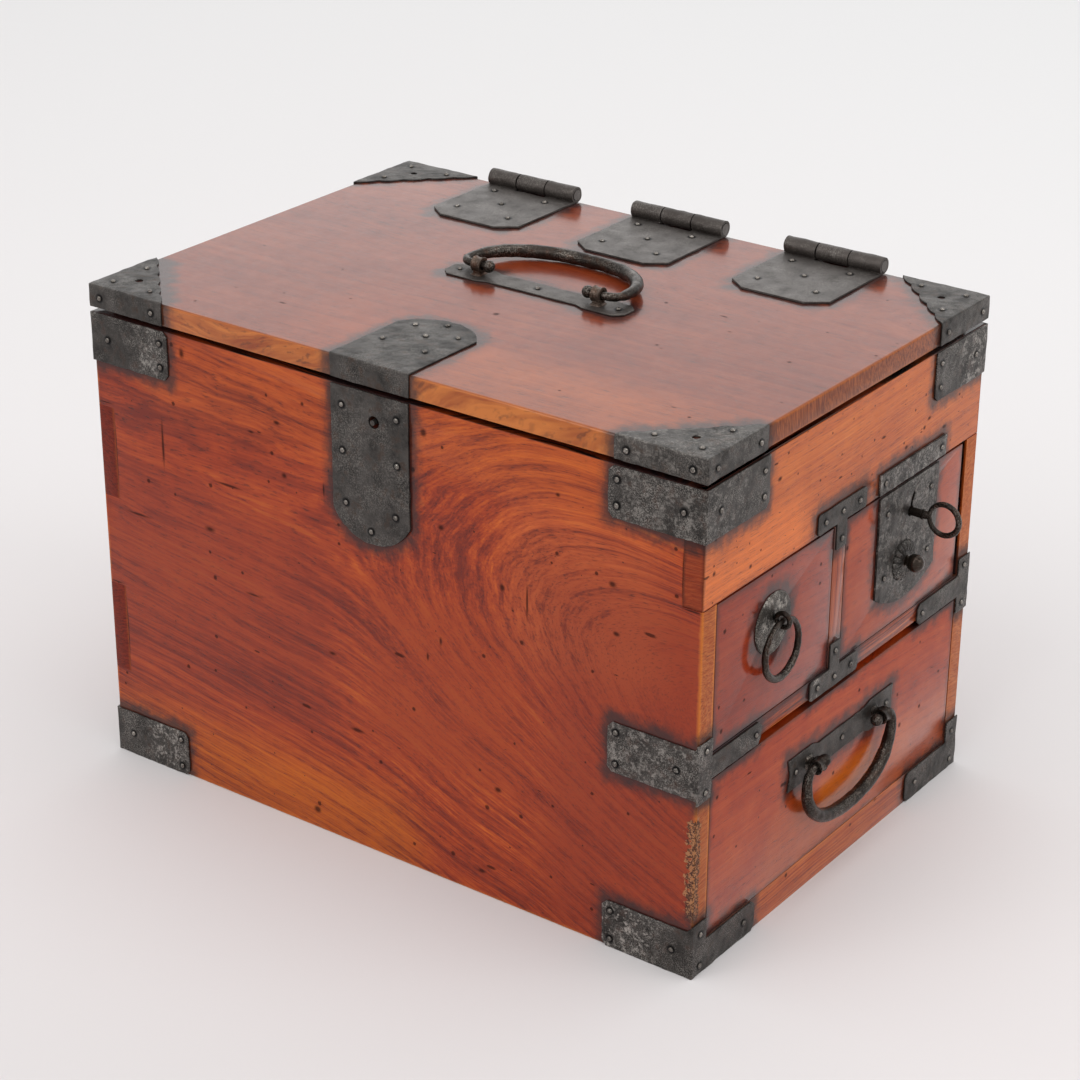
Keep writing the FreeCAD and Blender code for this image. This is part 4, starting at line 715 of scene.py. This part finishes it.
slotOf = {entry["node"]: entry["material_slot"] for entry in frame["record"]["subparts"]}
bodies = frame["record"]["behaviour"]["bodies"]
bodyOf = {node: body for body, members in bodies.items() for node in members}
joints = {joint["name"]: joint for joint in frame["joints"]}
finishes = {name: finishFor(name) for name in nodes}
for name, node in nodes.items():
    node.data.materials.clear()
    node.data.materials.append(finishes[name])
print("finishes laid on")

# millimetres that the wood's arrises are planed round by
woodArris = {"lid_board": 0.5, "front_board": 0.9, "back_board": 0.9, "others": 0.7}
for name, node in nodes.items():
    if finishes[name] is cedar or name in boards:
        weld = node.modifiers.new("weld", "WELD")
        weld.merge_threshold = 0.02 * mm
        arris = node.modifiers.new("arris", "BEVEL")
        arris.width = woodArris.get(name, woodArris["others"]) * mm
        arris.segments = 3
        arris.angle_limit = math.radians(50)
        arris.harden_normals = True
        node.data.shade_smooth()
print("arrises rounded")


def addPiece(nodeName, vertices, faces, sharp=38):
    # a piece that stands for one CAD node, rides on its body and takes its finish
    mesh = bpy.data.meshes.new("forged_" + nodeName)
    mesh.from_pydata(vertices, [], faces)
    showPiece(nodeName, mesh, sharp)


def newObject(name, data):
    thing = bpy.data.objects.new(name, data)
    bpy.context.scene.collection.objects.link(thing)
    return thing


def showPiece(nodeName, mesh, sharp):
    mesh.materials.append(finishes[nodeName])
    mesh.shade_smooth()
    mesh.set_sharp_from_angle(angle=math.radians(sharp))
    piece = newObject("forged_" + nodeName, mesh)
    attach(piece, bodyOf[nodeName])
    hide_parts(nodeName)


def skin(rows, closed=False):
    # faces between like rows of corners, capped at both ends or closed on themselves
    count = len(rows[0])
    corners = [corner for row in rows for corner in row]
    faces = []
    for i in range(len(rows) if closed else len(rows) - 1):
        a, b = i * count, (i + 1) % len(rows) * count
        for j in range(count):
            k = (j + 1) % count
            faces.append((a + j, a + k, b + k, b + j))
    if not closed:
        faces += [tuple(reversed(range(count))), tuple(range(len(corners) - count, len(corners)))]
    return corners, faces


def together(*shapes):
    corners, faces = [], []
    for own, ownFaces in shapes:
        faces += [tuple(i + len(corners) for i in face) for face in ownFaces]
        corners += own
    return corners, faces


def blowAt(spot, size):
    # depth of the hammer marks, 1 in the middle of a mark
    return max(0.0, 1 - noise.voronoi(spot / (size * mm))[0][0]) ** 2


def circleRow(centre, across, up, radius, look):
    # one row of a bar or turned piece, dented by the hammer
    row = []
    for turn in around(look["sides"], 0.5):
        out = across * math.cos(turn) + up * math.sin(turn)
        dent = look["dent"] * mm * blowAt(centre + out * radius, look["blow"])
        row.append(centre + out * (radius - dent))
    return row


def forgedBar(path, radii, normal, look, closed=False):
    rows = []
    last = len(path) - 1
    for i, spot in enumerate(path):
        ahead = path[(i + 1) % len(path)] if closed or i < last else spot
        behind = path[i - 1] if closed or i > 0 else spot
        side = normal.cross(ahead - behind).normalized()
        rows.append(circleRow(spot, side, normal, radii[i], look))
    return skin(rows, closed)


def turnedPiece(profile, base, axis, look, closed=False):
    # profile as (distance along the axis, radius) in millimetres
    across = axis.orthogonal().normalized()
    up = axis.cross(across)
    rows = [circleRow(base + axis * (along * mm), across, up, radius * mm, look)
            for along, radius in profile]
    return skin(rows, closed)


def ballProfile(radius, count=9):
    # a ball round the start of its axis, as distances along it and radii
    turns = around(2 * count, 0.5)[:count]
    return [(-radius * math.cos(a), radius * math.sin(a)) for a in turns]


# how round work is drawn and hammered: sides, then the pitch and depth of the blows in millimetres
bar = {"sides": 18, "blow": 5.0, "dent": 0.55}
turnery = {"sides": 20, "blow": 3.5, "dent": 0.16}
bails = {
    "thick": 4.1, "thin": 2.45,     # radius of the bar in its middle and at its ends
    "flare": 7.0,                   # radius of the turn inwards at the posts
    "squareness": 2.3,              # 2 is a plain oval
    "ball": 3.6, "postHalf": 3.3, "sideRadius": 2.85,
    "pieces": {"lid_bail": ("lid_handle_turn", "lid_handle_posts"),
               "lower_drawer_bail": ("lower_handle_turn", "lower_drawer_posts")},
}


def turnOf(jointName):
    # where a joint's axis runs
    return Vector(joints[jointName]["pos_m"]), Vector([abs(a) for a in joints[jointName]["axis"]])


def quarter(runs):
    return [math.pi / 2 * i / runs for i in range(1, runs + 1)]


def bailHandle(nodeName, jointName, postNode):
    # a loop thick in its middle, its ends turned in through the posts to small balls
    pivot, across = turnOf(jointName)
    corners = [v.co for v in nodes[nodeName].data.vertices]
    foot = middleOf([c for c in corners if abs((c - pivot).dot(across)) < 0.5 * mm])
    depth = (foot - pivot).length / mm
    down = (foot - pivot).normalized()
    half = max((c - pivot).dot(across) for c in corners) / mm - bails["sideRadius"]
    post = max((middleOf(island) - pivot).dot(across) for island in islandsOf(postNode)) / mm
    ball = post - bails["postHalf"] - bails["ball"]
    flare = bails["flare"]
    power = 2 / bails["squareness"]
    side = [(ball, 0.0), (post, 0.0), (half - flare, 0.0)]
    side += [(half - flare + flare * math.sin(a), flare * (1 - math.cos(a))) for a in quarter(8)]
    side += [(half * math.cos(a) ** power, flare + (depth - flare) * math.sin(a) ** power)
             for a in quarter(36)[:-1]]
    flat = side + [(0.0, depth)] + [(-u, v) for u, v in reversed(side)]
    path = [pivot + across * (u * mm) + down * (v * mm) for u, v in flat]
    swell = bails["thick"] - bails["thin"]
    radii = [(bails["thin"] + swell * math.sin(v / depth * math.pi / 2)) * mm for u, v in flat]
    shapes = [forgedBar(path, radii, across.cross(down), bar)]
    for sign in (1, -1):
        end = pivot + across * (sign * ball * mm)
        shapes.append(turnedPiece(ballProfile(bails["ball"]), end, across, turnery))
    addPiece(nodeName, *together(*shapes))


postEye = {
    # distance along the bail's axis and radius, once round the wrapped strap
    "strap": [(-3.0, 4.3), (-2.7, 4.6), (-2.0, 4.2), (0, 4.0), (2.0, 4.2), (2.7, 4.6), (3.0, 4.3),
              (3.0, 2.9), (0, 2.75), (-3.0, 2.9)],
    "neck": (-3.1, 2.8, 3.0),       # height from the axis, half width and half thickness
    "foot": [(1.0, 2.8, 3.0), (0.4, 3.4, 3.8), (0.0, 3.8, 4.2)],    # the same, with heights from the plate
    "outline": [(1, 0.7), (0.7, 1), (-0.7, 1), (-1, 0.7), (-1, -0.7), (-0.7, -1), (0.7, -1), (1, -0.7)],
}


def postEyes(nodeName, jointName, out):
    # wrapped strap eyes with turned-out lips, each on a short foot
    pivot, across = turnOf(jointName)
    side = across.cross(out)
    shapes = []
    for island in islandsOf(nodeName):
        centre = pivot + across * (middleOf(island) - pivot).dot(across)
        shapes.append(turnedPiece(postEye["strap"], centre, across, turnery, True))
        plate = (min((c - pivot).dot(out) for c in island) - 0.05 * mm) / mm
        levels = [postEye["neck"]] + [(plate + rise, wide, thick) for rise, wide, thick in postEye["foot"]]
        rows = []
        for height, wide, thick in levels:
            rows.append([centre + out * (height * mm) + across * (x * wide * mm) + side * (y * thick * mm)
                         for x, y in postEye["outline"]])
        shapes.append(skin(rows))
    addPiece(nodeName, *together(*shapes))


for bailNode, (turn, posts) in bails["pieces"].items():
    bailHandle(bailNode, turn, posts)
postEyes("lid_handle_posts", "lid_handle_turn", zAxis)
postEyes("lower_drawer_posts", "lower_handle_turn", xAxis)
print("bail handles forged")

# radii in millimetres: of the ring and its bar, then of the eye, its wire and the shank behind it
ringPull = {"radius": 16.3, "top": 1.65, "bottom": 2.2, "eye": 3.9, "eyeWire": 1.45, "shank": 1.15,
            "shankLength": 8.0}


def ringAndEye():
    pivot = Vector(joints["small_ring_turn"]["pos_m"])
    turns = around(72)
    radius = ringPull["radius"] * mm
    path = [pivot - zAxis * radius + (zAxis * math.cos(a) + yAxis * math.sin(a)) * radius for a in turns]
    swell = ringPull["bottom"] - ringPull["top"]
    thick = [(ringPull["top"] + swell * (1 - math.cos(a)) / 2) * mm for a in turns]
    addPiece("small_drawer_ring", *forgedBar(path, thick, -xAxis, bar, True))
    eye = ringPull["eye"] * mm
    loop = [pivot + (xAxis * math.cos(a) + zAxis * math.sin(a)) * eye for a in turns[::3]]
    wires = [ringPull["eyeWire"] * mm] * len(loop)
    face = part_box("small_drawer_ring_plate")[0].x
    shank = [((face - pivot.x) / mm - ringPull["shankLength"], ringPull["shank"]),
             (-ringPull["eye"] - 0.4, ringPull["shank"])]
    shapes = [forgedBar(loop, wires, -yAxis, turnery, True), turnedPiece(shank, pivot, xAxis, turnery)]
    addPiece("small_drawer_ring_eye", *together(*shapes))


ringAndEye()
print("ring pull forged")

key = {
    "bow": 1.6, "thin": 1.45, "swell": 0.3,     # the bow's reach past its ring, and its wire
    "tip": [(0.0, 2.2), (0.4, 2.5)],            # distance from the tip and radius
    # distance from the bow's ring and radius, with two collars
    "shaft": [(-4.5, 2.5), (-4.2, 3.0), (-3.2, 3.0), (-2.9, 2.4), (-1.6, 2.3), (0.4, 1.8)],
    "bit": 1.3,                                 # half its thickness
}


def lockKey():
    low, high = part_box("lock_key")
    middle = Vector(joints["key_turn"]["pos_m"])
    bow = (high.z - middle.z) / mm - key["bow"]
    bowCentre = Vector((high.x - (bow + key["bow"]) * mm, middle.y, middle.z))
    start = (low.x - bowCentre.x) / mm
    shaft = [(start + along, radius) for along, radius in key["tip"]]
    shaft += [(along - bow, radius) for along, radius in key["shaft"]]
    turns = around(48)
    ring = [bowCentre + (xAxis * math.cos(a) + zAxis * math.sin(a)) * (bow * mm) for a in turns]
    wires = [(key["thin"] + key["swell"] * (1 + math.cos(a)) / 2) * mm for a in turns]
    # the flat bit keeps the CAD key's reach and length
    corners = [v.co for v in nodes["lock_key"].data.vertices]
    bit = [c for c in corners if c.x < middle.x and c.z < middle.z - 4 * mm]
    bitLow = min(c.z for c in bit)
    rows = []
    for along in (low.x, max(c.x for c in bit)):
        rows.append([Vector((along, middle.y + key["bit"] * mm * side, height))
                     for side, height in ((-1, bitLow), (1, bitLow), (1, middle.z), (-1, middle.z))])
    addPiece("lock_key", *together(turnedPiece(shaft, bowCentre, xAxis, turnery),
                                   forgedBar(ring, wires, -yAxis, turnery, True), skin(rows)))


# the radius of the stem, then distance in front of the ball's back and radius of its collar
knob = {"stem": 2.4, "collar": [(-1.4, 2.5), (-0.9, 3.4), (0.1, 3.6), (0.4, 2.7)], "ballFrom": 0.5}


def lockKnob():
    low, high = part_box("lock_knob")
    radius = (high.z - low.z) / 2 / mm
    centre = Vector((high.x - radius * mm, (low.y + high.y) / 2, (low.z + high.z) / 2))
    profile = [((low.x - centre.x) / mm, knob["stem"])]
    profile += [(along - radius, wide) for along, wide in knob["collar"]]
    profile += [spot for spot in ballProfile(radius, 12) if spot[0] > knob["ballFrom"] - radius]
    addPiece("lock_knob", *turnedPiece(profile, centre, xAxis, turnery))


rosette = {
    "petals": 18, "petalSides": 6, "crest": 0.6,
    "fluteWidth": 0.12, "fluteDepth": 1.1,      # shares of the radius and the rise
    "fluteFrom": 0.45, "fluteZero": 0.3,        # shares of the radius where flutes stop and run out
    # share of the radius and share of the rise, from the rim inwards
    "rings": [(1.0, 0.0), (1.0, 0.4), (0.97, 0.62), (0.88, 0.86), (0.72, 1.0), (0.55, 0.96), (0.42, 0.82),
              (0.36, 0.84), (0.3, 1.0), (0.24, 1.0)],
}


def lockRosette():
    low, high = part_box("lock_rosette")
    outer = (high.z - low.z) / 2
    rise = high.x - low.x
    middle = Vector((low.x, (low.y + high.y) / 2, (low.z + high.z) / 2))
    rows = []
    for share, height in rosette["rings"]:
        flute = share - rosette["fluteZero"] if share > rosette["fluteFrom"] else 0.0
        row = []
        for turn in around(rosette["petals"] * rosette["petalSides"]):
            crest = abs(math.cos(rosette["petals"] * turn / 2)) ** rosette["crest"]
            reach = outer * share * (1 - rosette["fluteWidth"] * flute * (1 - crest))
            lift = rise * height * (1 - rosette["fluteDepth"] * flute * (1 - crest))
            row.append(middle + Vector((lift, reach * math.cos(turn), reach * math.sin(turn))))
        rows.append(row)
    addPiece("lock_rosette", *skin(rows), 50)


lockKey()
lockKnob()
lockRosette()
print("key, knob and rosette made")

# share of a head's radius and share of its height, from the rim inwards
nailHead = {"rows": [(1.0, 0.0), (1.02, 0.3), (0.86, 0.68), (0.52, 0.95), (0.2, 1.05)], "sides": 10,
            "uneven": 0.22, "unevenPitch": 1.7}


def nailHeads(nodeName):
    # low hand-forged domes, no two alike
    shapes = []
    for island in islandsOf(nodeName):
        tip = min(island, key=lambda c: sum((c - other).length for other in island))
        rim = [c for c in island if c is not tip]
        base = middleOf(rim)
        radius = (rim[0] - base).length
        up = (tip - base).normalized()
        across = up.orthogonal().normalized()
        side = up.cross(across)
        height = (tip - base).length
        rows = []
        for reach, rise in nailHead["rows"]:
            row = []
            for turn in around(nailHead["sides"]):
                out = across * math.cos(turn) + side * math.sin(turn)
                uneven = noise.noise((base + out * radius) / (nailHead["unevenPitch"] * mm))
                uneven = 1 + nailHead["uneven"] * uneven
                row.append(base + out * (radius * reach * uneven) + up * (height * rise * uneven))
            rows.append(row)
        shapes.append(skin(rows))
    addPiece(nodeName, *together(*shapes))


for name in nodes:
    if name.endswith("nails"):
        nailHeads(name)
print("nails driven")

# in millimetres: the arris, the mesh, the pitch and depth of the blows, the width of a cut edge and how
# ragged it is
beating = {"arris": 0.32, "cell": 4.0, "blow": 9.0, "dent": 0.22, "rim": 3.0, "ragged": 0.35,
           "raggedPitch": 6.0}


def beatenIron(nodeName):
    # the CAD iron with rounded arrises and shallow hammer marks
    shape = weldedShape(nodeName)
    bmesh.ops.dissolve_limit(shape, angle_limit=math.radians(1), verts=shape.verts, edges=shape.edges)
    arrises = [e for e in shape.edges if e.is_manifold and e.calc_face_angle() > math.radians(35)]
    bmesh.ops.bevel(shape, geom=arrises, offset=beating["arris"] * mm, offset_type="OFFSET", segments=2,
                    profile=0.6, affect="EDGES", clamp_overlap=True)
    # narrow faces are the cut edges of the sheet, which stay a little ragged
    for face in shape.faces:
        face.material_index = int(face.calc_area() < face.calc_perimeter() * beating["rim"] / 4 * mm)
    low, high = boxOf([v.co for v in shape.verts])
    step = beating["cell"] * mm
    for axis in range(3):
        cut = Vector()
        cut[axis] = 1
        for i in range(1, int((high[axis] - low[axis]) / step)):
            bmesh.ops.bisect_plane(shape, geom=shape.verts[:] + shape.edges[:] + shape.faces[:],
                                   dist=0.001 * mm, plane_co=low + cut * (i * step), plane_no=cut)
    shape.normal_update()
    moves = []
    for corner in shape.verts:
        move = corner.normal * (-beating["dent"] * mm * blowAt(corner.co, beating["blow"]))
        rim = sum((face.normal for face in corner.link_faces if face.material_index), Vector())
        if rim.length > 0.1:
            ragged = noise.noise(corner.co / (beating["raggedPitch"] * mm))
            move += rim.normalized() * (beating["ragged"] * mm * (ragged - 0.4))
        moves.append(move)
    for corner, move in zip(shape.verts, moves):
        corner.co += move
    for face in shape.faces:
        face.material_index = 0
    mesh = bpy.data.meshes.new("forged_" + nodeName)
    shape.to_mesh(mesh)
    shape.free()
    showPiece(nodeName, mesh, 50)


for name in plateKinds:
    beatenIron(name)
print("irons beaten")

room = {
    "size": 16.0,
    # floor colours from front to back: a painted falloff of the light
    "near": "#cfcccc", "middle": "#dad6d6", "far": "#ebebeb",
    "fade": (-500.0, 2600.0),       # millimetres from the middle where the floor is darkest and palest
    "sky": "#efefef", "fill": 0.86,
    "aim": (0, 0, 0.15),
    "lamps": {
        "key_lamp": {"place": (-0.4, -2.1, 2.2), "size": 2.2, "power": 25.0},
        "right_lamp": {"place": (2.3, 0.6, 1.9), "size": 1.6, "power": 13.0},
        "top_lamp": {"place": (0.2, 0.3, 2.6), "size": 2.2, "power": 15.0},
        "back_wall_card": {"place": (-2.4, 3.2, 2.4), "size": 3.4, "power": 19.0, "sheenOnly": True},
    },
}
camera = {"azimuth": 36.099, "elevation": 25.192, "roll": 0.31, "place": (0.8456, -1.1563, 0.8164),
          "sensor": 36.0, "focal": 2734.1 / 1080}     # focal length in widths of the sensor


def buildRoom():
    half = room["size"] / 2
    mesh = bpy.data.meshes.new("studio_floor")
    corners = [(-half, -half, 0), (half, -half, 0), (half, half, 0), (-half, half, 0)]
    mesh.from_pydata(corners, [], [(0, 1, 2, 3)])
    floor = newObject("studio_floor", mesh)
    # Matt floor paint, rolled on smooth: pale, even and soft. Its colour darkens towards the front and pales
    # towards the back of the room as a painted falloff of the light.
    material, add, spot = newMaterial("painted_studio_floor")
    place = add("SeparateXYZ", spot).node.outputs
    away = add("Math MULTIPLY_ADD", place[0], -0.2, place[1])
    shade = add("ValToRGB", add("MapRange", away, *room["fade"], 0.0, 1.0),
                stops=[(0.0, paint(room["near"])), (0.1, paint(room["middle"])), (1.0, paint(room["far"]))])
    finishMaterial(material, add("BsdfPrincipled", {"Base Color": shade, "Roughness": 0.85, "IOR": 1.4}))
    mesh.materials.append(material)

    world = bpy.data.worlds.new("pale_studio")
    bpy.context.scene.world = world
    world.use_nodes = True
    tree = world.node_tree
    tree.nodes.clear()
    add = functools.partial(addNode, tree)
    rays = add("LightPath").node.outputs
    seen = add("Math MAXIMUM", rays["Is Camera Ray"], rays["Is Glossy Ray"])
    seen = add("Math MAXIMUM", seen, rays["Is Transmission Ray"])
    lighting = add("Background", {"Color": (1, 1, 1, 1), "Strength": room["fill"]})
    backdrop = add("Background", {"Color": paint(room["sky"]), "Strength": 1.0})
    surface = add("MixShader", seen, lighting, backdrop)
    tree.links.new(surface, tree.nodes.new("ShaderNodeOutputWorld").inputs["Surface"])


def hangLamp(name, look):
    lamp = bpy.data.lights.new(name, "AREA")
    lamp.size = look["size"]
    lamp.energy = look["power"]
    holder = newObject(name, lamp)
    holder.location = look["place"]
    aim = Vector(room["aim"]) - Vector(look["place"])
    holder.rotation_euler = aim.to_track_quat("-Z", "Y").to_euler()
    holder.visible_camera = False
    holder.visible_diffuse = not look.get("sheenOnly", False)


def placeCamera():
    azimuth, elevation, roll = [math.radians(camera[k]) for k in ("azimuth", "elevation", "roll")]
    back = Vector((math.sin(azimuth) * math.cos(elevation), -math.cos(azimuth) * math.cos(elevation),
                   math.sin(elevation)))
    right = Vector((math.cos(azimuth), math.sin(azimuth), 0))
    up = back.cross(right)
    right, up = (right * math.cos(roll) + up * math.sin(roll), up * math.cos(roll) - right * math.sin(roll))
    turn = Matrix((right, up, back)).transposed().to_4x4()
    lens = bpy.data.cameras.new("camera")
    lens.lens = camera["focal"] * camera["sensor"]
    lens.sensor_width = camera["sensor"]
    holder = newObject("camera", lens)
    holder.matrix_world = Matrix.Translation(camera["place"]) @ turn
    bpy.context.scene.camera = holder


buildRoom()
for lampName, lampLook in room["lamps"].items():
    hangLamp(lampName, lampLook)
placeCamera()
bpy.context.scene.view_settings.view_transform = "Standard"
print("room, lamps and camera set")
